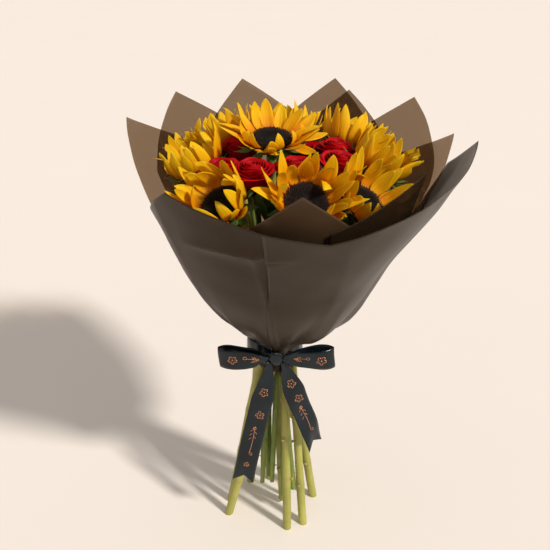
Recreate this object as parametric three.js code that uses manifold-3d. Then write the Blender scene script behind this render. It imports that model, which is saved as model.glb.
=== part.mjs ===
// A hand-tied bunch of sunflowers and red roses, wrapped in sheets of dark film and tied with a ribbon bow.
// The stems cross in a spiral at the tie, splay out below it, and stand on their level cut ends.
// Millimetres, +Z up. While it is built, the tie's axis is x = y = 0 and the cut ends stand on z = 0;
// at the end the whole bunch is moved so that the origin is the middle of its base.
import * as THREE from "three";
import { mergeVertices } from "three/addons/utils/BufferGeometryUtils.js";
import Module from "manifold-3d";

const wasm = await Module();
wasm.setup();

// ---------- driving dimensions ----------
const clearance = 0.4; // between pieces that touch

// stems and the spiral
const tieHeight = 249; // middle of the ribbon, where the stems cross, above the cut ends
const sunflowerStem = 5.2; // radius
const roseStem = 3.2; // radius
const packing = 0.9; // room between the rings of stems at the tie
const spiralTurn = 74; // degrees from a stem's place at the tie to its head, seen from above
const upperSlope = 0.42; // sideways travel of an outer stem for each unit of height, above the tie
const cutDepth = 14; // how far a stem is drawn past its cut before it is trimmed level

// flower heads
const headCentre = new THREE.Vector2(13, 2); // the head leans a little away from the tie's axis
const headRise = 209; // from the tie to the discs of the outer ring
const topRise = 34; // from those discs to the middle flower's
const headSpread = 2.66; // reach of the outer ring for each unit of a crowded head's radius
const roseRoom = 4.9; // least reach of that ring for each unit of a rose's radius
const crowdedCup = 70; // degrees that a crowded flower's petals are raised by
const outerTilt = 34; // degrees that an outer flower leans outwards
const discRadius = 22;
const discHeight = 7;
const petalLength = 40;
const petalCount = 12;
const petalThickness = 0.9;
const calyxDepth = 15;
const roseRadius = 19;
const roseHeight = 36;
const roseDrop = 6; // from the outer discs down to the foot of a rose's bloom
const discOverRose = 3; // a disc that is wider than a rose by more than this pushes the roses out

// film sheets
const filmThickness = 0.6;
const tiePitch = 1.5; // from one layer of film to the next, gathered under the ribbon
const rimPitch = 3.6; // and at the rim
const filmLayers = 4;
const filmRise = 61; // from the outer discs to the highest corners
const rimMargin = 24; // from the outer petals to the film at its widest

// ribbon and the tape under it
const ribbonWidth = 25;
const ribbonThickness = 0.7;
const knotSize = new THREE.Vector3(15, 10, 19);
const loopRise = 4; // from the knot's middle to the loops' far ends
const tapeWidth = 16;
const tapeThickness = 1;
const tapeSlack = 1.4; // the bundle is a little wider at the tape's edges than at its middle

// ---------- sizes that follow ----------
const rad = THREE.MathUtils.degToRad;
const stemRings = {
  rose: sunflowerStem + packing + roseStem,
  sunflower: sunflowerStem + 2 * packing + 2 * roseStem + sunflowerStem,
};
const crowdedRadius = discRadius + petalLength * Math.cos(rad(crowdedCup));
const headReach = Math.max(headSpread * crowdedRadius, roseRoom * roseRadius);
const rosePush = Math.max(0, discRadius - roseRadius - discOverRose);
const domeRadius =
  headReach +
  crowdedRadius * Math.cos(rad(outerTilt)) +
  petalLength * Math.sin(rad(crowdedCup)) * Math.sin(rad(outerTilt));
const tapeInner = stemRings.sunflower + sunflowerStem + tapeSlack;
const filmInner = tapeInner + tapeThickness + clearance + filmThickness / 2;
const bandInner = filmInner + (filmLayers - 1) * tiePitch + filmThickness / 2 + clearance;
const filmBottom = tieHeight - ribbonWidth / 2 + 3;
const neckTop = tieHeight + ribbonWidth / 2 + 1.5; // the film starts to open just over the ribbon
const filmTop = tieHeight + headRise + filmRise;
const rimRadius = domeRadius + rimMargin;

// ---------- materials ----------
const finish = (color, roughness, metalness = 0) =>
  new THREE.MeshStandardMaterial({ color, roughness, metalness });
const green = finish(0x8a9a3c, 0.6);
const yellow = finish(0xf4b41a, 0.55);
const brown = finish(0x2b160c, 0.9);
const crimson = finish(0xa3101f, 0.5);
const leafGreen = finish(0x3f6b35, 0.6);
const film = finish(0x4a3c30, 0.35);
const satin = finish(0x12222c, 0.3);
const tape = finish(0xcfc8b4, 0.4);

// ---------- solids ----------
const bouquet = new THREE.Group();

function addMesh(name, geometry, material, parent = bouquet) {
  const mesh = new THREE.Mesh(geometry, material);
  mesh.name = name;
  parent.add(mesh);
  return mesh;
}

function solidFrom(geometry) {
  const bare = new THREE.BufferGeometry().setAttribute(
    "position",
    (geometry.index ? geometry.toNonIndexed() : geometry).getAttribute("position"),
  );
  const merged = mergeVertices(bare, 1e-3);
  return new wasm.Manifold(
    new wasm.Mesh({
      numProp: 3,
      vertProperties: merged.attributes.position.array,
      triVerts: new Uint32Array(merged.index.array),
    }),
  );
}

function geometryFrom(solid) {
  const mesh = solid.getMesh();
  const geometry = new THREE.BufferGeometry();
  geometry.setAttribute("position", new THREE.BufferAttribute(mesh.vertProperties, 3));
  geometry.setIndex(new THREE.BufferAttribute(mesh.triVerts, 1));
  return geometry;
}

// A closed thin shell over a grid of points. place(u, v) gives the point of the middle surface;
// u and v run from 0 to 1, and with ring true u = 1 meets u = 0.
function sheetGeometry(place, columns, rows, thickness, ring = false) {
  const across = ring ? columns : columns + 1;
  const step = 1e-3;
  const faces = [];
  const sides = [[], []];
  for (let j = 0; j <= rows; j++)
    for (let i = 0; i < across; i++) {
      const u = i / columns;
      const v = j / rows;
      const point = place(u, v);
      const uLow = ring ? u - step : Math.max(0, u - step);
      const uHigh = ring ? u + step : Math.min(1, u + step);
      const alongU = place(uHigh, v).sub(place(uLow, v));
      const alongV = place(u, Math.min(1, v + step)).sub(place(u, Math.max(0, v - step)));
      const normal = alongU.cross(alongV).normalize();
      sides[0].push(point.clone().addScaledVector(normal, thickness / 2));
      sides[1].push(point.clone().addScaledVector(normal, -thickness / 2));
    }
  const count = sides[0].length;
  const at = (side, i, j) => side * count + j * across + (i % across);
  const quad = (a, b, c, d) => faces.push(a, b, c, a, c, d);
  for (let j = 0; j < rows; j++)
    for (let i = 0; i < columns; i++) {
      quad(at(0, i, j), at(0, i + 1, j), at(0, i + 1, j + 1), at(0, i, j + 1));
      quad(at(1, i, j), at(1, i, j + 1), at(1, i + 1, j + 1), at(1, i + 1, j));
    }
  for (let i = 0; i < columns; i++) {
    quad(at(1, i, 0), at(1, i + 1, 0), at(0, i + 1, 0), at(0, i, 0));
    quad(at(0, i, rows), at(0, i + 1, rows), at(1, i + 1, rows), at(1, i, rows));
  }
  if (!ring)
    for (let j = 0; j < rows; j++) {
      quad(at(0, 0, j), at(0, 0, j + 1), at(1, 0, j + 1), at(1, 0, j));
      quad(at(1, columns, j), at(1, columns, j + 1), at(0, columns, j + 1), at(0, columns, j));
    }
  const geometry = new THREE.BufferGeometry().setFromPoints([...sides[0], ...sides[1]]);
  geometry.setIndex(faces);
  return geometry;
}

const lathe = (profile, segments) =>
  new THREE.LatheGeometry(
    profile.map(([r, y]) => new THREE.Vector2(r, y)),
    segments,
  ).rotateX(Math.PI / 2);

// ---------- flower heads ----------
// A head's own frame has its +Z along the way the flower faces, and its origin under the disc.
function headFrame({ azimuth, reach, height, tilt, faces = azimuth }) {
  const a = rad(azimuth);
  const f = rad(faces);
  const t = rad(tilt);
  const origin = new THREE.Vector3(
    headCentre.x + reach * Math.cos(a),
    headCentre.y + reach * Math.sin(a),
    height,
  );
  const facing = new THREE.Vector3(
    Math.sin(t) * Math.cos(f),
    Math.sin(t) * Math.sin(f),
    Math.cos(t),
  );
  const turn = new THREE.Quaternion().setFromUnitVectors(new THREE.Vector3(0, 0, 1), facing);
  return { origin, facing, turn };
}

// Ray florets as one scalloped cup: each of the petals is a point between two notches.
function petalRing(cup) {
  const shoulder = 0.86;
  const notch = 0.34;
  const samples = 4;
  const baseAngle = rad(20);
  const inner = discRadius + clearance;
  return sheetGeometry(
    (u, v) => {
      const phase = (((u * petalCount) % 1) + 1) % 1;
      const fromTip = Math.abs(phase - 0.5) * 2;
      const quarter = 2 / samples;
      const length =
        fromTip < quarter
          ? THREE.MathUtils.lerp(1, shoulder, fromTip / quarter)
          : THREE.MathUtils.lerp(shoulder, notch, (fromTip - quarter) / (1 - quarter));
      const travel = v * length * petalLength;
      const bend = THREE.MathUtils.lerp(baseAngle, cup, Math.min(1, 2.5 * v * length));
      const radius = inner + travel * Math.cos(bend);
      const angle = u * 2 * Math.PI;
      return new THREE.Vector3(
        radius * Math.cos(angle),
        radius * Math.sin(angle),
        petalThickness + travel * Math.sin(bend),
      );
    },
    petalCount * samples,
    2,
    petalThickness,
    true,
  );
}

const discDome = () =>
  lathe(
    [
      [0, 0],
      [discRadius, 0],
      [discRadius - 1, discHeight * 0.5],
      [discRadius * 0.7, discHeight],
      [discRadius * 0.3, discHeight * 0.75],
      [0, discHeight * 0.7],
    ],
    16,
  );

const sunflowerCalyx = () =>
  lathe(
    [
      [0, -calyxDepth - 4],
      [sunflowerStem + 1, -calyxDepth],
      [discRadius * 0.75, -6],
      [discRadius + 2, -2],
      [discRadius + 2, -clearance],
      [0, -clearance],
    ],
    12,
  );

// A rose's petals, one inside another, as rings that step up round a hollow heart.
const roseBloom = () =>
  lathe(
    [
      [0, 0],
      [roseRadius * 0.4, 0.5],
      [roseRadius * 0.82, roseHeight * 0.22],
      [roseRadius, roseHeight * 0.55],
      [roseRadius * 0.97, roseHeight * 0.86],
      [roseRadius * 0.72, roseHeight],
      [roseRadius * 0.55, roseHeight * 0.88],
      [roseRadius * 0.36, roseHeight * 0.98],
      [roseRadius * 0.2, roseHeight * 0.84],
      [0, roseHeight * 0.86],
    ],
    12,
  );

const roseCalyx = () =>
  lathe(
    [
      [0, -9],
      [roseStem + 1.2, -7],
      [roseRadius * 0.33, -3],
      [roseRadius * 0.4, -clearance],
      [0, -clearance],
    ],
    8,
  );

// ---------- stems ----------
// A stem runs up from its cut end to its place at the tie, leans on in the spiral, and turns
// into the back of its head.
function stemPath({ ring, place, base, facing, foot }) {
  const tieAngle = rad(place);
  const slope = (upperSlope * ring) / stemRings.sunflower;
  const crossing = new THREE.Vector3(
    ring * Math.cos(tieAngle),
    ring * Math.sin(tieAngle),
    tieHeight,
  );
  const lean = new THREE.Vector3(
    -slope * Math.sin(tieAngle),
    slope * Math.cos(tieAngle),
    1,
  ).normalize();
  const down = foot.clone().sub(crossing);
  const start = foot.clone().addScaledVector(down.clone().normalize(), cutDepth);
  const up = base.distanceTo(crossing) / 3;
  const path = new THREE.CurvePath();
  path.add(
    new THREE.CubicBezierCurve3(
      start,
      start.clone().addScaledVector(down, -0.5),
      crossing.clone().addScaledVector(lean, -tieHeight / 5),
      crossing,
    ),
  );
  path.add(
    new THREE.CubicBezierCurve3(
      crossing,
      crossing.clone().addScaledVector(lean, up),
      base.clone().addScaledVector(facing, -up * 0.8),
      base,
    ),
  );
  return path;
}

function tube(path, radius, sides, steps) {
  const section = new THREE.Shape();
  for (let i = 0; i < sides; i++) {
    const a = (i / sides) * 2 * Math.PI;
    const point = [radius * Math.cos(a), radius * Math.sin(a)];
    if (i) section.lineTo(...point);
    else section.moveTo(...point);
  }
  return new THREE.ExtrudeGeometry(section, { extrudePath: path, steps, bevelEnabled: false });
}

// Everything below a stem's level cut.
function waste(cutHeight) {
  const block = 400;
  return solidFrom(
    new THREE.BoxGeometry(block, block, block).translate(0, 0, cutHeight - block / 2),
  );
}

// foot is a stem's cut end: azimuth and reach round the tie's axis, and the height of the cut.
function stemWithCalyx(flower, { radius, ring, depth, calyx, sides }) {
  const { origin, facing, turn } = headFrame(flower);
  const [footAzimuth, footReach, cutHeight = 0] = flower.foot;
  const foot = new THREE.Vector3(
    footReach * Math.cos(rad(footAzimuth)),
    footReach * Math.sin(rad(footAzimuth)),
    0,
  );
  const base = origin.clone().addScaledVector(facing, -depth);
  const path = stemPath({ ring, place: flower.place, base, facing, foot });
  const seat = new THREE.Matrix4().compose(origin, turn, new THREE.Vector3(1, 1, 1));
  const whole = solidFrom(tube(path, radius, sides, 15)).add(solidFrom(calyx.applyMatrix4(seat)));
  return geometryFrom(whole.subtract(waste(cutHeight)));
}

function addSunflower(flower) {
  const { origin, turn } = headFrame(flower);
  const stem = stemWithCalyx(flower, {
    radius: sunflowerStem,
    ring: flower.middle ? 0 : stemRings.sunflower,
    depth: calyxDepth,
    calyx: sunflowerCalyx(),
    sides: 8,
  });
  addMesh(`sunflower_${flower.name}_stem`, stem, green);
  const head = new THREE.Group();
  head.position.copy(origin);
  head.quaternion.copy(turn);
  bouquet.add(head);
  addMesh(`sunflower_${flower.name}_disc`, discDome(), brown, head);
  addMesh(`sunflower_${flower.name}_petals`, petalRing(rad(flower.cup)), yellow, head);
}

function addRose(flower) {
  const { origin, turn } = headFrame(flower);
  const stem = stemWithCalyx(flower, {
    radius: roseStem,
    ring: stemRings.rose,
    depth: 5,
    calyx: roseCalyx(),
    sides: 6,
  });
  addMesh(`rose_${flower.name}_stem`, stem, green);
  const bloom = addMesh(`rose_${flower.name}_bloom`, roseBloom(), crimson);
  bloom.position.copy(origin);
  bloom.quaternion.copy(turn);
}

// Where each flower stands. Its head is at azimuth round the head's centre, out beyond (or inside)
// the outer ring's reach, and up above its usual height. It leans outwards by outerTilt plus lean,
// and its petals are raised by crowdedCup plus cup.
const ringHeight = tieHeight + headRise;
const outerSunflowers = [
  { name: "right", azimuth: 3, out: 0, up: 1, lean: -6, cup: 2, foot: [194, 61] },
  { name: "back_right", azimuth: 43, out: -2, up: 4, lean: -2, cup: 0, foot: [290, 44] },
  { name: "back", azimuth: 90, out: -5, up: 1, lean: -4, cup: -2, foot: [317, 48] },
  { name: "back_left", azimuth: 136, out: -3, up: 5, lean: -4, cup: 0, foot: [21, 53] },
  { name: "left", azimuth: 176, out: -1, up: 1, lean: -8, cup: 2, foot: [60, 47] },
  { name: "front_left", azimuth: 228, out: 3, up: -9, lean: 4, cup: 0, foot: [97, 54] },
  { name: "front", azimuth: 281, out: -5, up: 0, lean: 6, cup: -2, foot: [124, 58] },
  { name: "front_right", azimuth: 324, out: 0, up: -15, lean: 4, cup: 0, foot: [170, 58] },
];
const roses = [
  { name: "right", azimuth: 23, spread: 2.84, up: -1, tilt: 8, foot: [250, 18, 52] },
  { name: "back", azimuth: 72, spread: 2.53, up: 4, tilt: 6, foot: [300, 20, 30] },
  { name: "back_left", azimuth: 158, spread: 2.66, up: 4, tilt: 10, foot: [20, 26, 20] },
  { name: "left", azimuth: 204, spread: 3.74, up: -4, tilt: 12, foot: [60, 20, 60] },
  { name: "front_left", azimuth: 234, spread: 2.95, up: 1, tilt: 10, foot: [110, 22, 34] },
  { name: "front", azimuth: 279, spread: 2.58, up: 4, tilt: 4, foot: [150, 20, 48] },
  { name: "front_right", azimuth: 340, spread: 2.79, up: 0, tilt: 12, foot: [200, 20, 44] },
];
// At the tie the stems of each ring share the turn evenly, in the order of their heads.
const placeAtTie = (index, count, first) => first + (360 * index) / count;
const firstSunflower = 1 - spiralTurn;
const firstRose = 30 - spiralTurn;

outerSunflowers.forEach(({ out, up, lean, cup, ...flower }, index) =>
  addSunflower({
    ...flower,
    place: placeAtTie(index, outerSunflowers.length, firstSunflower),
    reach: headReach + out,
    height: ringHeight + up,
    tilt: outerTilt + lean,
    cup: crowdedCup + cup,
  }),
);

// The middle flower is open wider, faces a little to the front and stands over the roses.
addSunflower({
  name: "middle",
  middle: true,
  place: 0,
  azimuth: 180,
  reach: 17,
  height: ringHeight + topRise,
  tilt: 10,
  faces: 270,
  cup: 34,
  foot: [30, 12, 6],
});

roses.forEach(({ spread, up, ...flower }, index) =>
  addRose({
    ...flower,
    place: placeAtTie(index, roses.length, firstRose),
    reach: spread * roseRadius + rosePush,
    height: ringHeight - roseDrop + up,
  }),
);

// ---------- film ----------
// The cup of the wrap widens from the tie to the rim: each point is the share of the way up
// and the share of the way out.
const cupShape = new THREE.SplineCurve(
  [
    [0, 0],
    [0.03, 0.065],
    [0.066, 0.18],
    [0.145, 0.315],
    [0.215, 0.415],
    [0.4, 0.593],
    [0.61, 0.764],
    [0.79, 0.89],
    [1, 1],
  ].map(([rise, reach]) => new THREE.Vector2(rise, reach)),
).getPoints(120);

// A point of the wrap in a given layer. The cup's middle moves over to the head's centre as it
// rises, and flare opens a sheet beyond the cup, in millimetres at the film's top.
function filmPoint(azimuth, z, layer, flare) {
  const rise = THREE.MathUtils.clamp((z - neckTop) / (filmTop - neckTop), 0, 1);
  const next = Math.max(1, cupShape.findIndex((point) => point.x >= rise));
  const [low, high] = [cupShape[next - 1], cupShape[next]];
  const reach = THREE.MathUtils.mapLinear(rise, low.x, high.x, low.y, high.y);
  const over = THREE.MathUtils.smoothstep(rise, 0, 0.6);
  const radius =
    THREE.MathUtils.lerp(filmInner, rimRadius, reach) +
    layer * THREE.MathUtils.lerp(tiePitch, rimPitch, reach) +
    flare * THREE.MathUtils.smoothstep(rise, 0.4, 0.95);
  const a = rad(azimuth);
  return new THREE.Vector3(
    headCentre.x * over + radius * Math.cos(a),
    headCentre.y * over + radius * Math.sin(a),
    z,
  );
}

// The lower rows of every sheet are level with each other, so that the layers lie close.
const lowerRows = [filmBottom, neckTop, ...[0.055, 0.13, 0.27].map((rise) =>
  THREE.MathUtils.lerp(neckTop, filmTop, rise),
)];
const upperRows = 3;
const filmRows = lowerRows.length - 1 + upperRows;

function rowHeight(v, top) {
  const row = v * filmRows;
  const last = lowerRows.length - 1;
  if (row >= last) return THREE.MathUtils.lerp(lowerRows[last], top, (row - last) / upperRows);
  const below = Math.floor(row);
  return THREE.MathUtils.lerp(lowerRows[below], lowerRows[below + 1], row - below);
}

// Each sheet is a square of film set corner up. Its top edge runs through the given corners, each
// an azimuth and a drop below the film's top, and its sides close in towards the tie.
function addFilm({ name, layer, edge, flare = 0 }) {
  const gathered = 0.8;
  const columnSpan = 12;
  const azimuths = edge.flatMap(([azimuth], corner) => {
    if (!corner) return [azimuth];
    const before = edge[corner - 1][0];
    const steps = Math.max(1, Math.round((azimuth - before) / columnSpan));
    return Array.from({ length: steps }, (_, i) =>
      THREE.MathUtils.lerp(before, azimuth, (i + 1) / steps),
    );
  });
  const columns = azimuths.length - 1;
  const middle = (azimuths[0] + azimuths[columns]) / 2;
  const dropAt = (azimuth) => {
    const next = Math.max(1, edge.findIndex((corner) => corner[0] >= azimuth - 1e-9));
    const [low, high] = [edge[next - 1], edge[next]];
    return THREE.MathUtils.mapLinear(azimuth, low[0], high[0], low[1], high[1]);
  };
  const place = (u, v) => {
    const column = Math.min(columns - 1, Math.floor(u * columns));
    const azimuth = THREE.MathUtils.lerp(
      azimuths[column],
      azimuths[column + 1],
      u * columns - column,
    );
    const narrow = THREE.MathUtils.lerp(gathered, 1, Math.min(1, v * 2));
    const z = rowHeight(v, filmTop - dropAt(azimuth));
    return filmPoint(middle + (azimuth - middle) * narrow, z, layer, flare);
  };
  addMesh(`film_${name}`, sheetGeometry(place, columns, filmRows, filmThickness), film);
}

const filmSheets = [
  { name: "left", layer: 1, edge: [[140, 56], [174, 6], [206, 86]] },
  { name: "back_left", layer: 2, edge: [[104, 70], [137, 7], [163, 77]] },
  { name: "back", layer: 0, edge: [[78, 60], [108, 3], [135, 75]] },
  { name: "back_right", layer: 1, edge: [[39, 80], [70, 3], [98, 68]] },
  { name: "back_right_outer", layer: 2, edge: [[37, 72], [64, 15], [90, 83]] },
  { name: "right", layer: 0, edge: [[-8, 66], [31, 4], [62, 68]] },
  { name: "right_outer", layer: 1, edge: [[-32, 86], [-2, 16], [34, 72]], flare: 3 },
  { name: "front", layer: 0, edge: [[244, 88], [274, 23], [300, 78]] },
  { name: "front_right", layer: 1, edge: [[284, 66], [322, 22], [327, 80]] },
  { name: "wrap_left", layer: 2, edge: [[196, 92], [226, 36], [270, 70]] },
  { name: "wrap_right", layer: 3, edge: [[262, 52], [282, 66], [354, 19], [369, 61]], flare: 21 },
];
filmSheets.forEach(addFilm);

// ---------- tape and ribbon ----------
const ringBand = (inner, thickness, height) =>
  lathe(
    [
      [inner, -height / 2],
      [inner + thickness, -height / 2],
      [inner + thickness, height / 2],
      [inner, height / 2],
      [inner, -height / 2],
    ],
    32,
  ).translate(0, 0, tieHeight);
addMesh("binding_tape", ringBand(tapeInner, tapeThickness, tapeWidth), tape);
addMesh("ribbon_band", ringBand(bandInner, ribbonThickness, ribbonWidth), satin);

const knotPlace = new THREE.Vector3(
  1,
  -(bandInner + ribbonThickness + clearance + knotSize.y / 2),
  tieHeight,
);
const knot = addMesh("ribbon_knot", new THREE.SphereGeometry(0.5, 12, 8), satin);
knot.scale.copy(knotSize);
knot.position.copy(knotPlace);

// A strip of ribbon along a curve. half(t) gives half its width and across(t) the way it runs;
// a notch makes the end a swallowtail.
function strip(curve, half, across, columns, notch = 0) {
  return sheetGeometry(
    (u, v) => {
      const side = 2 * v - 1;
      const shorter = notch * (1 - Math.abs(side));
      const t = Math.min(1, Math.max(0, u * (1 - shorter / curve.getLength())));
      return curve.getPointAt(t).addScaledVector(across(t), side * half(t));
    },
    columns,
    2,
    ribbonThickness,
  );
}

// A bow loop goes out from the knot, turns, and comes back behind itself. side is -1 or 1.
function addLoop(name, side, reach) {
  const start = knotSize.x / 2 + clearance;
  const y = knotPlace.y;
  const curve = new THREE.CatmullRomCurve3(
    [
      [start, y - 1.5],
      [reach * 0.45, y - 7],
      [reach * 0.86, y - 9],
      [reach, y - 3],
      [reach * 0.86, y + 3.5],
      [reach * 0.45, y + 2.5],
      [start, y + 1.5],
    ].map(
      ([x, depth]) => new THREE.Vector3(knotPlace.x + side * x, depth, tieHeight + (loopRise * x) / reach),
    ),
  );
  const pinch = 0.45;
  const half = (t) =>
    (ribbonWidth / 2) * THREE.MathUtils.lerp(pinch, 1, Math.sin(Math.PI * t) ** 0.7);
  const up = new THREE.Vector3(0, 0, 1);
  addMesh(name, strip(curve, half, () => up, 16), satin);
}
addLoop("ribbon_loop_left", -1, 64);
addLoop("ribbon_loop_right", 1, 66);

// A tail hangs from under the knot, in front of the stems, to its notched end. Each point is
// across from the knot, out in front of it, and down from its underside.
function addTail(name, points, turn) {
  const top = tieHeight - knotSize.z / 2 - clearance - 1;
  const curve = new THREE.CatmullRomCurve3(
    points.map(([x, out, drop]) => new THREE.Vector3(knotPlace.x + x, knotPlace.y - out, top - drop)),
  );
  const pinch = 0.5;
  const half = (t) => (ribbonWidth / 2) * THREE.MathUtils.lerp(pinch, 1, Math.min(1, t * 4));
  const across = (t) => {
    const a = rad(THREE.MathUtils.lerp(turn[0], turn[1], t));
    const flat = new THREE.Vector3(Math.cos(a), Math.sin(a), 0);
    const along = curve.getTangentAt(t);
    return flat.addScaledVector(along, -flat.dot(along)).normalize();
  };
  addMesh(name, strip(curve, half, across, 12, 9), satin);
}
const leftTail = [
  [-7, 0, 0],
  [-10, 5, 16],
  [-18, 9, 50],
  [-28, 11, 95],
  [-40, 10, 158],
];
const rightTail = [
  [8, 0, 0],
  [16, 5, 16],
  [26, 7, 44],
  [37, 6, 74],
  [47, 4, 110],
];
addTail("ribbon_tail_left", leftTail, [0, -8]);
addTail("ribbon_tail_right", rightTail, [0, 48]);

// ---------- leaves ----------
// A leaf stands up between two heads. Its points are inside or beyond the outer ring's reach,
// and below or above the outer discs.
function addLeaf(name, azimuth, from, to, width) {
  const a = rad(azimuth);
  const at = (out, up) =>
    new THREE.Vector3(
      headCentre.x + (headReach + out) * Math.cos(a),
      headCentre.y + (headReach + out) * Math.sin(a),
      ringHeight + up,
    );
  const bend = (from[0] + to[0]) / 2 - 8;
  const curve = new THREE.QuadraticBezierCurve3(
    at(...from),
    at(bend, (from[1] + to[1]) / 2),
    at(...to),
  );
  const across = new THREE.Vector3(-Math.sin(a), Math.cos(a), 0);
  const half = (t) => (width / 2) * Math.max(0.08, Math.sin(Math.PI * t ** 0.8));
  const blade = (u, v) => curve.getPointAt(u).addScaledVector(across, (2 * v - 1) * half(u));
  addMesh(name, sheetGeometry(blade, 8, 2, petalThickness), leafGreen);
}
addLeaf("leaf", 255, [-30, -40], [14, 18], 22);

// ---------- origin at the middle of the base ----------
const box = new THREE.Box3().setFromObject(bouquet, true);
const middle = box.getCenter(new THREE.Vector3());
bouquet.position.set(-middle.x, -middle.y, 0);

export default bouquet;
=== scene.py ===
# A hand-tied bunch of nine sunflowers and seven red roses, wrapped in sheets of smoke-brown film
# and tied with a printed satin bow. Metres, +Z up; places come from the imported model.
import math
import random

import bmesh
import bpy
import numpy as np
from mathutils import Matrix, Vector


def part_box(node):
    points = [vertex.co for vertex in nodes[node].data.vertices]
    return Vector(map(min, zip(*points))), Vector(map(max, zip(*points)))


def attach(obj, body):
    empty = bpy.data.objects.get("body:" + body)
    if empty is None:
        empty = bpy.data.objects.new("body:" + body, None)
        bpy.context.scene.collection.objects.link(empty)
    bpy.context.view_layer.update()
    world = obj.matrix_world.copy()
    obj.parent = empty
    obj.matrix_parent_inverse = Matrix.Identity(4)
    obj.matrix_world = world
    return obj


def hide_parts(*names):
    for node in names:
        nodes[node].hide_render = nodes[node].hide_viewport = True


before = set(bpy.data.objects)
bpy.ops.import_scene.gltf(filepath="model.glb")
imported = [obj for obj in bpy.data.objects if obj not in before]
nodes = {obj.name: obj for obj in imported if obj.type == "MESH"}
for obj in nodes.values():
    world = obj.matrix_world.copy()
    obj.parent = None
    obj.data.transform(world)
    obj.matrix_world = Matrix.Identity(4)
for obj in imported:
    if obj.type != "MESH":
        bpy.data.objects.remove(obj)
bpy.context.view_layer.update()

# ---------- Sunflower stems ----------
# Each stalk is one thick, ribbed, hairy stem, stripped of its leaves: short stubs are left where they
# grew, and on the front one a cut side shoot. It is cut level at the foot, and widens at the top
# into the green back of the head.
stalk_radius = 0.0052
stalk_colours = ((0.20, 0.215, 0.035), (0.42, 0.40, 0.095))
scar_colour = (0.30, 0.20, 0.07)
pith_colour = (0.50, 0.47, 0.24)
hair_length = 0.0016
hairs_each = 520
bare_foot = 0.003
path_step = 0.004
calyx_depth = 0.015
disc_radius = 0.022
scar_stub = (0.0017, 0.0042)
shoot_stub = (0.0038, 0.02)
shoot_height = 0.182
bract_count = 20
bract_length = 0.021
bract_width = 0.0085
bract_colours = ((0.035, 0.085, 0.012), (0.13, 0.22, 0.035))


def wire(tree, kind, links=None, **settings):
    """Adds a node: settings are its own, and links gives its inputs a socket or a value."""
    node = tree.nodes.new(kind)
    for name, value in settings.items():
        setattr(node, name, value)
    for key, source in (links or {}).items():
        if isinstance(source, bpy.types.NodeSocket):
            tree.links.new(source, node.inputs[key])
        else:
            node.inputs[key].default_value = source
    return node


def math_node(tree, operation, a, b=0.0):
    """The result of one sum on sockets or numbers."""
    return wire(tree, "ShaderNodeMath", {0: a, 1: b}, operation=operation).outputs[0]


def times(tree, a, b):
    """The product of two sockets or numbers."""
    return math_node(tree, "MULTIPLY", a, b)


def plus(tree, a, b):
    """The sum of two sockets or numbers."""
    return math_node(tree, "ADD", a, b)


def minus(tree, a, b):
    """The difference of two sockets or numbers."""
    return math_node(tree, "SUBTRACT", a, b)


def ramp(tree, share, *stops):
    """A colour that follows share: each stop is a place from 0 to 1 and a colour."""
    node = wire(tree, "ShaderNodeValToRGB", {"Fac": share})
    band = node.color_ramp
    while len(band.elements) < len(stops):
        band.elements.new(0.5)
    for element, (place, colour) in zip(band.elements, stops):
        element.position = place
        element.color = (*colour, 1)
    return node.outputs["Color"]


def blend(tree, share, a, b, how="MIX"):
    """Colour a turned into colour b by share."""
    node = wire(tree, "ShaderNodeMix", data_type="RGBA", blend_type=how)
    for key, source in ((0, share), (6, a), (7, b)):
        if isinstance(source, bpy.types.NodeSocket):
            tree.links.new(source, node.inputs[key])
        else:
            node.inputs[key].default_value = (*source, 1) if key else source
    return node.outputs[2]


def noise(tree, vector, scale, detail=3.0, rough=0.5):
    """A cloudy number round 0.5."""
    return wire(
        tree,
        "ShaderNodeTexNoise",
        {"Vector": vector, "Scale": scale, "Detail": detail, "Roughness": rough},
    ).outputs["Fac"]


def stretched(tree, vector, scale):
    """The same coordinate, scaled by a different amount along each way."""
    return wire(tree, "ShaderNodeMapping", {"Vector": vector, "Scale": scale}).outputs["Vector"]


def bump(tree, height, strength, distance):
    """The normal of a surface that stands up by height."""
    return wire(
        tree, "ShaderNodeBump", {"Height": height, "Strength": strength, "Distance": distance}
    ).outputs["Normal"]


def new_material(name):
    """An empty material, its node tree and its object coordinate."""
    material = bpy.data.materials.new(name)
    material.use_nodes = True
    tree = material.node_tree
    tree.nodes.clear()
    return material, tree, wire(tree, "ShaderNodeTexCoord").outputs["Object"]


def flat_place(tree):
    """The UV coordinate: X runs across a sheet and Y along it."""
    return tree.nodes["Texture Coordinate"].outputs["UV"]


def part_of(tree, vector, axis):
    """One part of a vector."""
    return wire(tree, "ShaderNodeSeparateXYZ", {"Vector": vector}).outputs[axis]


def finished(material, tree, look, through=None, share=0.0):
    """Gives a material its skin, and mixes in by share a shader that lets light through."""
    shader = wire(tree, "ShaderNodeBsdfPrincipled", look)
    if through:
        ends = {0: share, 1: shader.outputs[0], 2: through.outputs[0]}
        shader = wire(tree, "ShaderNodeMixShader", ends)
    wire(tree, "ShaderNodeOutputMaterial", {"Surface": shader.outputs[0]})
    return material


def attribute(tree, name):
    """A number that the mesh carries."""
    return wire(tree, "ShaderNodeAttribute", attribute_name=name).outputs["Fac"]


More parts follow.
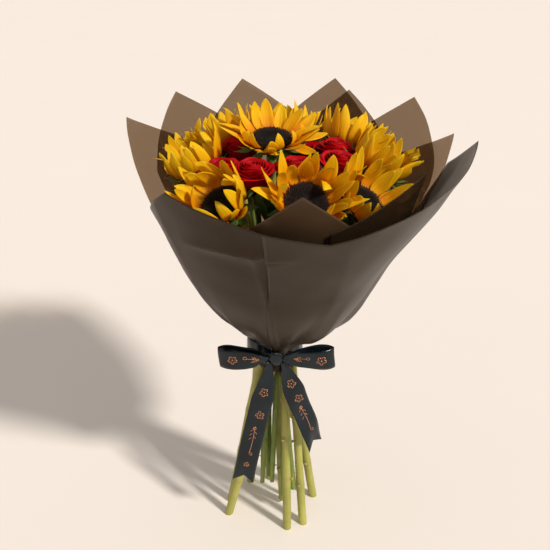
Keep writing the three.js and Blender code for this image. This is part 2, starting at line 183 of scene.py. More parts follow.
def stalk_material(name, colours, scar=scar_colour):
    """Ribbed green skin, streaked along the stem, with brown scars and specks."""
    material, tree, place = new_material(name)
    streaks = noise(tree, stretched(tree, place, (420, 420, 26)), 1.0, 4, 0.6)
    patches = noise(tree, place, 24, 4)
    green = ramp(tree, patches, (0.3, colours[0]), (0.72, colours[1]))
    green = blend(tree, times(tree, streaks, 0.5), green, colours[1])
    specks = noise(tree, place, 620, 2)
    worn = math_node(tree, "GREATER_THAN", specks, 0.70)
    worn = times(tree, worn, 0.55)
    brown = math_node(tree, "MAXIMUM", worn, attribute(tree, "tint"))
    colour = blend(tree, brown, green, scar)
    look = {
        "Base Color": colour,
        "Roughness": 0.52,
        "Subsurface Weight": 0.12,
        "Subsurface Radius": (0.004, 0.006, 0.002),
        "Subsurface Scale": 0.4,
        "Normal": bump(tree, streaks, 0.5, 0.0006),
    }
    return finished(material, tree, look)


def pith_material():
    """The fibrous cut end of a stem, dried brown in places."""
    material, tree, place = new_material("cut_end")
    fibres = noise(tree, place, 900, 3)
    colour = ramp(tree, fibres, (0.38, (0.20, 0.15, 0.06)), (0.68, pith_colour))
    look = {"Base Color": colour, "Roughness": 0.8, "Normal": bump(tree, fibres, 0.6, 0.0004)}
    return finished(material, tree, look)


class Shape:
    """Gathers grids of points into one mesh, with a UV map, a tint and a material for each part."""

    def __init__(self):
        self.points, self.quads, self.uvs, self.tints, self.slots = [], [], [], [], []
        self.count = 0

    def add(self, points, quads, uv, tint=0.0, slot=0):
        points = np.asarray(points, float).reshape(-1, 3)
        quads = np.asarray(quads, int).reshape(-1, 4)
        self.points.append(points)
        self.quads.append(quads + self.count)
        self.uvs.append(np.broadcast_to(np.asarray(uv, float).reshape(-1, 2), (len(points), 2)))
        self.tints.append(np.broadcast_to(np.asarray(tint, float).reshape(-1), (len(points),)))
        self.slots.append(np.full(len(quads), slot))
        self.count += len(points)

    def grid(self, points, thickness=0.0, ring=False, tint=0.0, slot=0, thin_edge=0.35):
        """A grid of points (rows, columns, 3), as a closed thin sheet, or with ring as a skin."""
        rows, columns = points.shape[:2]
        u, v = np.meshgrid(np.linspace(0, 1, columns), np.linspace(0, 1, rows))
        uv = np.stack([u, v], -1).reshape(-1, 2)
        tint = np.broadcast_to(np.asarray(tint, float), (rows, columns)).reshape(-1)
        index = np.arange(rows * columns).reshape(rows, columns)
        across = np.concatenate([index, index[:, :1]], 1) if ring else index
        a, b = across[:-1, :-1], across[:-1, 1:]
        c, d = across[1:, 1:], across[1:, :-1]
        skin = np.stack([a, b, c, d], -1).reshape(-1, 4)
        if not thickness:
            self.add(points, skin, uv, tint, slot)
            return
        normal = facing(points)
        share = np.ones((rows, columns, 1))
        share[[0, -1]] = thin_edge
        if not ring:
            share[:, [0, -1]] = thin_edge
        offset = normal * share * thickness / 2
        both = np.concatenate([(points + offset).reshape(-1, 3), (points - offset).reshape(-1, 3)])
        under = skin[:, ::-1] + rows * columns
        lines = [across[0], across[-1][::-1]]
        if not ring:
            lines += [index[:, -1], index[::-1, 0]]
        rim = [
            np.stack([line[1:], line[:-1], line[:-1] + rows * columns, line[1:] + rows * columns], -1)
            for line in lines
        ]
        quads = np.concatenate([skin, under, *rim])
        self.add(both, quads, np.concatenate([uv, uv]), np.concatenate([tint, tint]), slot)

    def mesh(self, name, materials, place=None):
        points = np.concatenate(self.points)
        quads = np.concatenate(self.quads)
        if place is not None:
            turn = np.array(place)
            points = points @ turn[:3, :3].T + turn[:3, 3]
        made = bpy.data.meshes.new(name)
        made.from_pydata(points.tolist(), [], [face_corners(q) for q in quads.tolist()])
        made.polygons.foreach_set("material_index", np.concatenate(self.slots))
        made.polygons.foreach_set("use_smooth", np.ones(len(quads), bool))
        uv = np.concatenate(self.uvs)
        corner = np.empty(len(made.loops), int)
        made.loops.foreach_get("vertex_index", corner)
        made.uv_layers.new(name="UVMap").data.foreach_set("uv", uv[corner].ravel())
        tint = made.attributes.new("tint", "FLOAT", "POINT")
        tint.data.foreach_set("value", np.concatenate(self.tints).astype(np.float32))
        for material in materials:
            made.materials.append(material)
        made.validate()
        return made


def face_corners(quad):
    """A quad's corners without repeats, so that a pole's faces are triangles."""
    return list(dict.fromkeys(quad))


def facing(points):
    """Unit normals of a grid of points."""
    along = np.gradient(points, axis=0)
    across = np.gradient(points, axis=1)
    normal = np.cross(across, along)
    length = np.linalg.norm(normal, axis=-1, keepdims=True)
    return normal / np.maximum(length, 1e-12)


def smooth_line(points, shares):
    """Points on the smooth line through points, at shares from 0 to 1 of its length."""
    points = np.asarray(points, float)
    steps = np.linalg.norm(np.diff(points, axis=0), axis=-1)
    at = np.concatenate([[0], np.cumsum(steps)]) / steps.sum()
    slopes = np.gradient(points, at, axis=0)
    shares = np.asarray(shares, float)
    k = np.clip(np.searchsorted(at, shares, side="right") - 1, 0, len(at) - 2)
    gap = (at[k + 1] - at[k])[:, None]
    x = (shares[:, None] - at[k][:, None]) / gap
    return (
        (2 * x**3 - 3 * x**2 + 1) * points[k]
        + (x**3 - 2 * x**2 + x) * gap * slopes[k]
        + (3 * x**2 - 2 * x**3) * points[k + 1]
        + (x**3 - x**2) * gap * slopes[k + 1]
    )


def flowers_of(kind):
    """The places of the flowers of one kind, from the names of their stems."""
    stems = [node for node in nodes if node.startswith(f"{kind}_") and node.endswith("_stem")]
    return [node[len(kind) + 1 : -len("_stem")] for node in stems]


def unit(vector):
    """The same way, one long."""
    return vector / np.linalg.norm(vector)


def eased(share):
    """A share from 0 to 1 that starts and ends gently."""
    return share * share * (3 - 2 * share)


def level_way(dice):
    """A random level direction."""
    angle = dice.uniform(0, 2 * math.pi)
    return np.array([math.cos(angle), math.sin(angle), 0.0])


def cad_points(node):
    """A CAD node's corners, as an array."""
    mesh = nodes[node].data
    points = np.empty(len(mesh.vertices) * 3)
    mesh.vertices.foreach_get("co", points)
    return points.reshape(-1, 3)


def centreline(node, levels):
    """The middles of a CAD node's level cuts."""
    points = cad_points(node)
    ends = np.array([edge.vertices[:] for edge in nodes[node].data.edges])
    low, high = points[ends[:, 0]], points[ends[:, 1]]
    middles = []
    for level in levels:
        crossing = (low[:, 2] - level) * (high[:, 2] - level) < 0
        a, b = low[crossing], high[crossing]
        cut = a + (b - a) * ((level - a[:, 2]) / (b[:, 2] - a[:, 2]))[:, None]
        middles.append((cut.min(0) + cut.max(0)) / 2)
    return np.array(middles)


def seat(node):
    """Where a turned CAD node stands: the middle of its foot, and a matrix from its own frame."""
    points = np.unique(cad_points(node).round(6), axis=0)
    middle = points.mean(0)
    spread, axes = np.linalg.eigh(np.cov((points - middle).T))
    axis = axes[:, 2] if spread[1] - spread[0] < spread[2] - spread[1] else axes[:, 0]
    axis = axis * np.sign(axis[2])
    foot = middle + axis * ((points - middle) @ axis).min()
    turn = Vector((0, 0, 1)).rotation_difference(Vector(axis)).to_matrix().to_4x4()
    return foot, axis, Matrix.Translation(Vector(foot)) @ turn


def tube(shape, path, radii, sides, ribs=0.0, rib_count=8, tint=0.0, slot=0):
    """A skin round a path: parallel rings, so that it doesn't twist. Returns the rings."""
    along = np.gradient(path, axis=0)
    along /= np.linalg.norm(along, axis=1, keepdims=True)
    side = np.cross(along[0], [0.0, 1.0, 0.2])
    rings = []
    angles = np.linspace(0, 2 * math.pi, sides, endpoint=False)
    for point, way, radius in zip(path, along, radii):
        side = side - way * (side @ way)
        side /= np.linalg.norm(side)
        other = np.cross(way, side)
        reach = radius * (1 + ribs * np.cos(rib_count * angles))
        ring = np.outer(np.cos(angles) * reach, side) + np.outer(np.sin(angles) * reach, other)
        rings.append(point + ring)
    rings = np.array(rings)
    shape.grid(rings, ring=True, tint=tint, slot=slot)
    return rings


def cap(shape, ring, slot, outwards, dome=0.0, rings=3):
    """Closes a ring of points, with smaller rings to its middle. outwards is the way it faces."""
    middle = ring.mean(0)
    shares = np.linspace(1, 0, rings + 1)[:-1]
    layers = [middle + (ring - middle) * s + outwards * dome * (1 - s**2) for s in shares]
    points = np.concatenate([*layers, [middle + outwards * dome]])
    count = len(ring)
    quads = []
    for j in range(rings):
        for i in range(count):
            a, b = j * count + i, j * count + (i + 1) % count
            inner = (b + count, a + count) if j < rings - 1 else (len(points) - 1,) * 2
            quads.append((a, b, *inner))
    first = quads[0]
    way = np.cross(points[first[1]] - points[first[0]], points[first[2]] - points[first[1]])
    if way @ outwards < 0:
        quads = [q[::-1] for q in quads]
    shape.add(points, quads, (0.5, 0.5), slot=slot)


def stalk(shape, path, radii, sides, low, axis, cut_rings, **look):
    """A stem's skin: its first ring is drawn down, or up, to a level cut that shows the pith, and
    its top is closed along axis."""
    rings = tube(shape, path, radii, sides, **look)
    way = rings[0].mean(0) - rings[1].mean(0)
    way = way / way[2]
    rings[0] += np.outer(low - rings[0][:, 2], way)
    shape.points[-1] = rings.reshape(-1, 3)
    cap(shape, rings[0], 1, np.array([0.0, 0.0, -1.0]), rings=cut_rings)
    cap(shape, rings[-1], 0, axis, rings=1)


def add_piece(name, mesh, slot, *replaced):
    """Shows a finished mesh in place of the CAD nodes that it stands for."""
    piece = bpy.data.objects.new(name, mesh)
    bpy.context.scene.collection.objects.link(piece)
    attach(piece, "root")
    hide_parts(*replaced)
    return piece


def blade(
    length, width, bend, pointed, rows, columns, gutter=0.12, twist=0.0, sway=0.0, ribs=0.0, strap=0
):
    """A petal or bract from the origin, out along +X and up by bend (radians at each share of its
    length), as a grid of points. pointed is the power that narrows its tip, and strap the power
    that keeps its sides parallel up to there."""
    share = np.linspace(0, 1, rows)
    fine = np.linspace(0, 1, 60)
    angle = bend(fine)
    step = length / (len(fine) - 1)
    run = np.concatenate([[0], np.cumsum(np.cos(angle[:-1]) * step)])
    climb = np.concatenate([[0], np.cumsum(np.sin(angle[:-1]) * step)])
    x, z, tilt = (np.interp(share, fine, values) for values in (run, climb, angle))
    if strap:
        root = 0.46 + 0.54 * np.sin(np.clip(share / 0.45, 0, 1) * math.pi / 2)
        shape = root * (1 - share**strap) ** pointed
    else:
        shape = np.sin(math.pi * share**0.72) ** (0.7 + pointed * share) + 0.34 * (1 - share) ** 3
    half = width / 2 * np.maximum(shape, 0.02)
    side = np.linspace(-1, 1, columns)
    lift = gutter * width * (side**2)[None, :] * np.sin(math.pi * share**0.6)[:, None]
    lift = lift + ribs * (np.cos(3 * math.pi * side) - 1)[None, :] * np.sin(math.pi * share)[:, None]
    roll = twist * share**1.5
    y = half[:, None] * side[None, :]
    across = y * np.cos(roll)[:, None] - lift * np.sin(roll)[:, None]
    up = y * np.sin(roll)[:, None] + lift * np.cos(roll)[:, None]
    grid = np.empty((rows, columns, 3))
    grid[..., 0] = x[:, None] - up * np.sin(tilt)[:, None]
    grid[..., 1] = across + (sway * share**2)[:, None]
    grid[..., 2] = z[:, None] + up * np.cos(tilt)[:, None]
    return grid


def add_strip(name, node, points, thickness, material, slot, ring=False):
    """Shows a grid of points as one thin closed sheet, in place of a CAD node."""
    shape = Shape()
    shape.grid(points, thickness, ring=ring)
    return add_piece(name, shape.mesh(name, [material]), slot, node)


def turned(points, azimuth, reach, height):
    """Carries a grid out from the axis and round it."""
    c, s = math.cos(azimuth), math.sin(azimuth)
    x = points[..., 0] + reach
    y = points[..., 1]
    return np.stack([x * c - y * s, x * s + y * c, points[..., 2] + height], -1)


def lathe(shape, profile, sides, tint=0.0, slot=0):
    """A closed turned shape from (radius, height) pairs that start and end on the axis."""
    angles = np.linspace(0, 2 * math.pi, sides, endpoint=False)
    inner = [pair for pair in profile if pair[0] > 0]
    rings = np.array(
        [np.stack([r * np.cos(angles), r * np.sin(angles), np.full(sides, z)], -1) for r, z in inner]
    )
    shape.grid(rings, ring=True, tint=tint, slot=slot)
    up = np.array([0.0, 0.0, 1.0])
    for ring, way in ((rings[0], -up), (rings[-1], up)):
        cap(shape, ring, slot, way, rings=1)


def growing_tree(name, inputs):
    """An empty geometry node tree whose inputs are (key, label, kind). Returns it, its input sockets
    by key, with the mesh among them, and the identifiers that a modifier knows them by."""
    tree = bpy.data.node_groups.new(name, "GeometryNodeTree")
    face = tree.interface
    face.new_socket("Geometry", in_out="INPUT", socket_type="NodeSocketGeometry")
    made = {
        key: face.new_socket(label, in_out="INPUT", socket_type=f"NodeSocket{kind}")
        for key, label, kind in inputs
    }
    face.new_socket("Geometry", in_out="OUTPUT", socket_type="NodeSocketGeometry")
    group = wire(tree, "NodeGroupInput").outputs
    given = {key: group[socket.name] for key, socket in made.items()}
    given["mesh"] = group["Geometry"]
    return tree, given, {key: socket.identifier for key, socket in made.items()}


def together(tree, *parts):
    """Several sockets' geometry as one."""
    both = wire(tree, "GeometryNodeJoinGeometry")
    for part in parts:
        tree.links.new(part, both.inputs[0])
    return both.outputs[0]


def hair_tree(name, material):
    """Geometry nodes that grow short hairs all over a mesh, clear of its foot."""
    tree, given, names = growing_tree(
        name,
        (
            ("density", "Hairs per square metre", "Float"),
            ("length", "Hair length", "Float"),
            ("seed", "Seed", "Int"),
        ),
    )
    skin = wire(tree, "GeometryNodeMaterialSelection", {"Material": material}).outputs[0]
    place = wire(tree, "GeometryNodeInputPosition").outputs[0]
    level = part_of(tree, place, "Z")
    spots = wire(
        tree,
        "GeometryNodeDistributePointsOnFaces",
        {
            "Mesh": given["mesh"],
            "Selection": times(tree, skin, math_node(tree, "GREATER_THAN", level, bare_foot)),
            "Density": given["density"],
            "Seed": given["seed"],
        },
    )
    hair = wire(
        tree,
        "GeometryNodeMeshCone",
        {"Vertices": 3, "Radius Top": 0.00003, "Radius Bottom": 0.00014, "Depth": given["length"]},
    )
    grown = wire(
        tree,
        "GeometryNodeInstanceOnPoints",
        {
            "Points": spots.outputs["Points"],
            "Instance": hair.outputs["Mesh"],
            "Rotation": spots.outputs["Rotation"],
        },
    )
    whole = wire(tree, "GeometryNodeRealizeInstances", {"Geometry": grown.outputs[0]})
    coloured = wire(tree, "GeometryNodeSetMaterial", {"Geometry": whole.outputs[0], "Material": material})
    wire(tree, "NodeGroupOutput", {0: together(tree, given["mesh"], coloured.outputs[0])})
    return tree, names


def grown_mesh(mesh, tree, names, **values):
    """Runs a mesh through a geometry node tree and gives back the plain result."""
    carrier = bpy.data.objects.new("carrier", mesh)
    bpy.context.scene.collection.objects.link(carrier)
    modifier = carrier.modifiers.new("grow", "NODES")
    modifier.node_group = tree
    for key, value in values.items():
        modifier[names[key]] = value
    graph = bpy.context.evaluated_depsgraph_get()
    result = bpy.data.meshes.new_from_object(carrier.evaluated_get(graph))
    bpy.data.objects.remove(carrier)
    return result


def merged(mesh, other):
    """Adds another mesh to a mesh, and keeps each face's material."""
    slots = {material.name: number for number, material in enumerate(mesh.materials) if material}
    for material in other.materials:
        if material.name not in slots:
            slots[material.name] = len(mesh.materials)
            mesh.materials.append(material)
    for face in other.polygons:
        face.material_index = slots[other.materials[face.material_index].name]
    joined = bmesh.new()
    joined.from_mesh(mesh)
    joined.from_mesh(other)
    joined.to_mesh(mesh)
    joined.free()
    return mesh


def stub(shape, point, out, along, size, dice):
    """The short end of a leaf stalk or side shoot that was cut off: skin and a pale end. size is
    its radius and its length."""
    radius, length = size
    way = unit(out + along * dice.uniform(0.2, 0.7))
    path = point + np.outer(np.linspace(-0.3, 1, 5) * length, way)
    radii = radius * np.array([1.3, 1.25, 1.05, 0.95, 0.92])
    rings = tube(shape, path, radii, 10, tint=0.25)
    cap(shape, rings[-1], 1, way, dome=0.0004, rings=2)
    cap(shape, rings[0], 0, -way, rings=1)


def stem_path(node, foot, axis, depth):
    """A stem's line through its CAD tube, from the cut to the back of the head."""
    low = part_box(node)[0].z
    base = foot - axis * depth
    levels = np.linspace(low + 0.0006, base[2] - 0.008, 22)
    middles = centreline(node, levels)
    line = np.concatenate([middles, [base, foot - axis * 0.002]])
    length = np.linalg.norm(np.diff(line, axis=0), axis=1).sum()
    return low, smooth_line(line, np.linspace(0, 1, int(length / path_step)))


stalk_skin = stalk_material("sunflower_stalk", stalk_colours)
bract_skin = stalk_material("sunflower_bract", bract_colours, scar=(0.06, 0.13, 0.02))
cut_end = pith_material()
stalk_hairs, hair_names = hair_tree("stalk_hairs", stalk_skin)
sunflowers = flowers_of("sunflower")
front_stem = min(sunflowers, key=lambda f: centreline(f"sunflower_{f}_stem", [0.01])[0][1])

for number, flower in enumerate(sunflowers):
    dice = random.Random(100 + number)
    foot, axis, head = seat(f"sunflower_{flower}_disc")
    node = f"sunflower_{flower}_stem"
    low, path = stem_path(node, foot, axis, calyx_depth)
    height = path[:, 2]
    shape = Shape()
    swell = np.zeros(len(path))
    brown = np.zeros(len(path))
    growths = [dice.uniform(0.05, 0.09), dice.uniform(0.12, 0.16), dice.uniform(0.19, 0.22)]
    for level in growths:
        near = np.exp(-(((height - level) / 0.005) ** 2))
        swell += 0.09 * near
        brown += 0.35 * np.exp(-(((height - level) / 0.0022) ** 2))
    radii = stalk_radius * (0.94 + swell + 0.05 * np.clip(1 - height / 0.1, 0, 1))
    stalk(shape, path, radii, 20, low, axis, 4, ribs=0.018, rib_count=7, tint=brown[:, None])
    for level in growths:
        k = int(np.argmin(abs(height - level)))
        out = level_way(dice)
        along = unit(path[min(k + 1, len(path) - 1)] - path[k - 1])
        stub(shape, path[k] + out * stalk_radius * 0.8, out, along, scar_stub, dice)
    if flower == front_stem:
        k = int(np.argmin(abs(height - shoot_height)))
        along = unit(path[k + 1] - path[k])
        out = np.array([0.75, -0.66, 0.0])
        stub(shape, path[k] + out * stalk_radius * 0.7, out * 0.5, -along * 3, shoot_stub, dice)
        collar = path[k - 1 : k + 2]
        tube(shape, collar, stalk_radius * np.array([0.99, 1.22, 0.99]), 20, tint=0.5)
    body = shape.mesh(f"{flower}_stalk", [stalk_skin, cut_end])
    skin_area = 2 * math.pi * stalk_radius * len(path) * path_step
    density = hairs_each / skin_area
    body = grown_mesh(body, stalk_hairs, hair_names, density=density, length=hair_length, seed=number)
    back = Shape()
    profile = [
        (0.0, -calyx_depth - 0.003),
        (stalk_radius, -calyx_depth - 0.002),
        (stalk_radius * 1.25, -calyx_depth + 0.002),
        (disc_radius * 0.5, -0.0095),
        (disc_radius * 0.8, -0.0055),
        (disc_radius * 0.99, -0.0022),
        (disc_radius, -0.0006),
        (disc_radius * 0.7, -0.0004),
        (0.0, -0.0004),
    ]
    lathe(back, profile, 28)
    for k in range(bract_count):
        outer = k % 2
        azimuth = 2 * math.pi * k / bract_count + dice.uniform(-0.06, 0.06)
        start = math.radians(-28 if outer else 5)
        end = math.radians(dice.uniform(5, 40) if outer else dice.uniform(30, 62))
        grid = blade(
            bract_length * dice.uniform(0.85, 1.15),
            bract_width * dice.uniform(0.9, 1.1),
            lambda s, start=start, end=end: start + (end - start) * s**0.8,
            0.9,
            rows=8,
            columns=5,
            gutter=0.1,
            twist=dice.uniform(-0.3, 0.3),
        )
        reach = disc_radius * (0.86 if outer else 0.95)
        back.grid(turned(grid, azimuth, reach, -0.0052 if outer else -0.0024), 0.0006)
    body = merged(body, back.mesh("back", [bract_skin], head))
    add_piece(f"{flower}_sunflower_stalk", body, "stem", node)

# ---------- Rose stems ----------
# Thinner, smooth, brighter green stems with a few thorns, cut a little shorter than the sunflowers'.
# Each swells into a small hip under its bloom, with five narrow sepals.
rose_stem_radius = 0.0032
rose_stem_colours = ((0.09, 0.145, 0.018), (0.21, 0.28, 0.045))
thorn_length = 0.0042
sepal_length = 0.019
sepal_width = 0.006
rose_foot_depth = 0.005


def thorn(shape, point, out, along):
    """A broad-based thorn that hooks a little downwards."""
    tip = point + out * thorn_length - along * thorn_length * 0.35
    path = np.array([point - out * 0.0008, point + out * thorn_length * 0.45 - along * 0.0003, tip])
    radii = [0.0012, 0.0009, 0.0006, 0.0003, 0.0001]
    rings = tube(shape, smooth_line(path, np.linspace(0, 1, len(radii))), radii, 7, tint=0.3)
    cap(shape, rings[-1], 0, out, rings=1)
    cap(shape, rings[0], 0, -out, rings=1)


rose_skin = stalk_material("rose_stalk", rose_stem_colours, scar=(0.25, 0.11, 0.04))
roses = flowers_of("rose")

for number, flower in enumerate(roses):
    dice = random.Random(200 + number)
    foot, axis, head = seat(f"rose_{flower}_bloom")
    node = f"rose_{flower}_stem"
    low, path = stem_path(node, foot, axis, rose_foot_depth)
    shape = Shape()
    radii = rose_stem_radius * (0.93 + 0.07 * np.sin(path[:, 2] * 90))
    stalk(shape, path, radii, 14, low, axis, 3)
    for k in range(6, len(path) - 8, 11):
        out = level_way(dice)
        along = unit(path[k + 1] - path[k - 1])
        thorn(shape, path[k] + out * rose_stem_radius * 0.85, out, along)
    hip = Shape()
    profile = [
        (0.0, -0.0085),
        (0.0036, -0.0075),
        (0.0052, -0.0045),
        (0.0064, -0.0018),
        (0.0068, -0.0005),
        (0.0, -0.0004),
    ]
    lathe(hip, profile, 16)
    for k in range(5):
        fall = math.radians(dice.uniform(-50, 10))
        grid = blade(
            sepal_length * dice.uniform(0.8, 1.15),
            sepal_width,
            lambda s, fall=fall: 0.5 + (fall - 0.5) * s,
            0.9,
            rows=8,
            columns=5,
        )
        hip.grid(turned(grid, 2 * math.pi * (k + dice.uniform(-0.1, 0.1)) / 5, 0.005, -0.0012), 0.0006)
    body = shape.mesh(f"{flower}_rose_stalk", [rose_skin, cut_end])
    body = merged(body, hip.mesh("hip", [rose_skin], head))
    add_piece(f"{flower}_rose_stalk", body, "stem", node)

# ---------- Sunflower discs ----------
# The dark middle of each head: a low dome packed with hundreds of tiny florets. They follow the
# golden angle, are tightest in the middle, and open towards the rim, where some hold pollen.
floret_count = 430
floret_size = 0.00088
disc_height = 0.007
disc_colours = ((0.006, 0.0025, 0.0015), (0.022, 0.008, 0.003), (0.10, 0.035, 0.006))
golden_angle = math.pi * (3 - math.sqrt(5))


def disc_material():
    """Near-black brown florets, a little lighter towards their pollen tips."""
    material, tree, place = new_material("disc_florets")
    ripe = attribute(tree, "tint")
    grain = noise(tree, place, 1500, 2)
    share = plus(tree, ripe, times(tree, grain, 0.3))
    colour = ramp(tree, share, (0.2, disc_colours[0]), (0.75, disc_colours[1]), (1.0, disc_colours[2]))
    look = {"Base Color": colour, "Roughness": 0.78, "Normal": bump(tree, grain, 0.6, 0.0003)}
    return finished(material, tree, look)


def floret_tree(material):
    """Geometry nodes that stand florets on a disc in a golden-angle spiral."""
    tree, given, names = growing_tree(
        "disc_spiral",
        (
            ("count", "Florets", "Int"),
            ("radius", "Disc radius", "Float"),
            ("height", "Disc height", "Float"),
            ("size", "Floret size", "Float"),
            ("turn", "Turn", "Float"),
            ("seed", "Seed", "Int"),
        ),
    )
    index = wire(tree, "GeometryNodeInputIndex").outputs[0]
    turns = math_node(tree, "DIVIDE", plus(tree, index, 0.5), given["count"])
    share = math_node(tree, "SQRT", turns)
    reach = times(tree, share, given["radius"])
    angle = plus(tree, times(tree, index, golden_angle), given["turn"])
    cosine = math_node(tree, "COSINE", angle)
    sine = math_node(tree, "SINE", angle)
    square = times(tree, share, share)
    fall = times(tree, times(tree, square, square), -1.45)
    rise = plus(tree, plus(tree, times(tree, square, 1.2), 0.62), fall)
    height = times(tree, rise, given["height"])
    spot = wire(
        tree,
        "ShaderNodeCombineXYZ",
        {0: times(tree, cosine, reach), 1: times(tree, sine, reach), 2: height},
    ).outputs[0]
    lean = minus(tree, times(tree, square, 1.5), 0.35)
    way = wire(
        tree,
        "ShaderNodeCombineXYZ",
        {0: times(tree, cosine, lean), 1: times(tree, sine, lean), 2: 1.0},
    ).outputs[0]
    points = wire(tree, "GeometryNodePoints", {"Count": given["count"], "Position": spot}).outputs[0]
    floret = wire(
        tree,
        "GeometryNodeMeshCone",
        {"Vertices": 6, "Side Segments": 2, "Radius Top": 0.35, "Radius Bottom": 1.0, "Depth": 2.6},
    ).outputs["Mesh"]
    aim = wire(tree, "FunctionNodeAlignRotationToVector", {"Vector": way}, axis="Z").outputs[0]
    limits = {2: 0.75, 3: 1.2, "Seed": given["seed"]}
    uneven = wire(tree, "FunctionNodeRandomValue", limits, data_type="FLOAT")
    wide = plus(tree, times(tree, share, 0.55), 0.62)
    size = times(tree, times(tree, wide, uneven.outputs[1]), given["size"])
    stood = wire(
        tree,
        "GeometryNodeInstanceOnPoints",
        {"Points": points, "Instance": floret, "Rotation": aim, "Scale": size},
    ).outputs[0]
    ripe = times(tree, square, minus(tree, uneven.outputs[1], 0.35))
    marked = wire(
        tree,
        "GeometryNodeStoreNamedAttribute",
        {"Geometry": stood, "Name": "tint"},
        data_type="FLOAT",
        domain="INSTANCE",
    )
    value = next(s for s in marked.inputs if s.name == "Value" and s.enabled)
    tree.links.new(ripe, value)
    both = together(tree, given["mesh"], marked.outputs[0])
    whole = wire(tree, "GeometryNodeRealizeInstances", {"Geometry": both})
    coloured = wire(tree, "GeometryNodeSetMaterial", {"Geometry": whole.outputs[0], "Material": material})
    wire(tree, "NodeGroupOutput", {0: coloured.outputs[0]})
    return tree, names


floret_skin = disc_material()
disc_spiral, disc_names = floret_tree(floret_skin)
dome_profile = [
    (0.0, 0.0),
    (disc_radius * 0.96, 0.0),
    (disc_radius * 0.98, disc_height * 0.2),
    (disc_radius * 0.9, disc_height * 0.55),
    (disc_radius * 0.7, disc_height * 0.8),
    (disc_radius * 0.35, disc_height * 0.66),
    (0.0, disc_height * 0.55),
]
for number, flower in enumerate(sunflowers):
    foot, axis, head = seat(f"sunflower_{flower}_disc")
    dome = Shape()
    lathe(dome, dome_profile, 32)
    mesh = grown_mesh(
        dome.mesh(f"{flower}_face", [floret_skin]),
        disc_spiral,
        disc_names,
        count=floret_count,
        radius=disc_radius * 0.97,
        height=disc_height,
        size=floret_size,
        turn=0.7 * number,
        seed=number,
    )
    mesh.transform(head)
    add_piece(f"{flower}_sunflower_face", mesh, "disc", f"sunflower_{flower}_disc")

# ---------- Sunflower petals ----------
# Three whorls of long, pointed ray petals round each disc, golden and grooved along their length.
# Their orange throat is partly their own colour and partly painted shade, and their tips are painted
# lighter as painted light. The crowd and the film hold them up in a cup, but the outermost droop
# where there is room, and a few fold in over the disc.
petal_length = 0.0435
petal_width = 0.0148
petal_thickness = 0.0005
petal_whorls = ((13, 1.0, -7), (13, 0.93, 9), (8, 1.0, -27))
centre_petals = 0.87
petal_root = math.radians(18)
held_side = 0.4
# Throat, middle and tip: the throat's orange is partly the petals' own and partly painted shade in the
# cup, and the tip colour is painted light.
petal_orange_shade_to_lit_tip = ((0.86, 0.27, 0.002), (0.99, 0.54, 0.003), (1.0, 0.70, 0.012))


def petal_material():
    """Thin golden petal: an orange throat, partly its own colour and partly painted shade, tips painted
    lighter as painted light, long veins, and light shining through.
    """
    material, tree, place = new_material("sunflower_petal")
    uv = flat_place(tree)
    along = part_of(tree, uv, "Y")
    tint = attribute(tree, "tint")
    veins = noise(tree, stretched(tree, uv, (26, 1.6, 1)), 1.0, 3, 0.55)
    patches = noise(tree, place, 60, 3)
    patched = times(tree, minus(tree, patches, 0.5), 0.5)
    tinted = times(tree, minus(tree, tint, 0.5), 0.45)
    # Darker and more orange towards the disc, lighter towards the tip: partly the petal's own colour,
    # partly painted shade and painted light.
    share = plus(tree, plus(tree, along, patched), tinted)
    colour = ramp(tree, share, (0.0, petal_orange_shade_to_lit_tip[0]), (0.36, petal_orange_shade_to_lit_tip[1]), (0.85, petal_orange_shade_to_lit_tip[2]))
    lines = ramp(tree, veins, (0.36, (0.82, 0.66, 0.40)), (0.56, (1.0, 1.0, 1.0)))
    colour = blend(tree, 0.75, colour, lines, "MULTIPLY")
    normal = bump(tree, veins, 0.75, 0.0007)
    look = {"Base Color": colour, "Roughness": 0.5, "Specular IOR Level": 0.22, "Normal": normal}
    glow = wire(tree, "ShaderNodeBsdfTranslucent", {"Color": colour, "Normal": normal})
    return finished(material, tree, look, glow, 0.3)


def cup_angle(node, head):
    """How far a CAD head's petals are raised, in its own frame."""
    inverse = np.array(head.inverted())
    points = cad_points(node) @ inverse[:3, :3].T + inverse[:3, 3]
    reach = np.hypot(points[:, 0], points[:, 1])
    tips = points[:, 2] > points[:, 2].max() - 0.001
    return math.atan2(points[:, 2].max(), reach[tips].mean() - disc_radius)


def held_in(points, node):
    """Keeps petals within the ring that the film leaves them: no farther out from the middle of
    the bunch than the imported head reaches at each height."""
    packed = cad_points(node)
    far = np.hypot(*(packed[:, :2] - crown[:2]).T)
    order = packed[:, 2].argsort()
    limit = np.interp(points[:, 2], packed[order, 2], np.maximum.accumulate(far[order])) + 0.002
    out = points[:, :2] - crown[:2]
    reach = np.linalg.norm(out, axis=1)
    points[:, :2] = crown[:2] + out * np.minimum(1, limit / reach)[:, None]
    return points


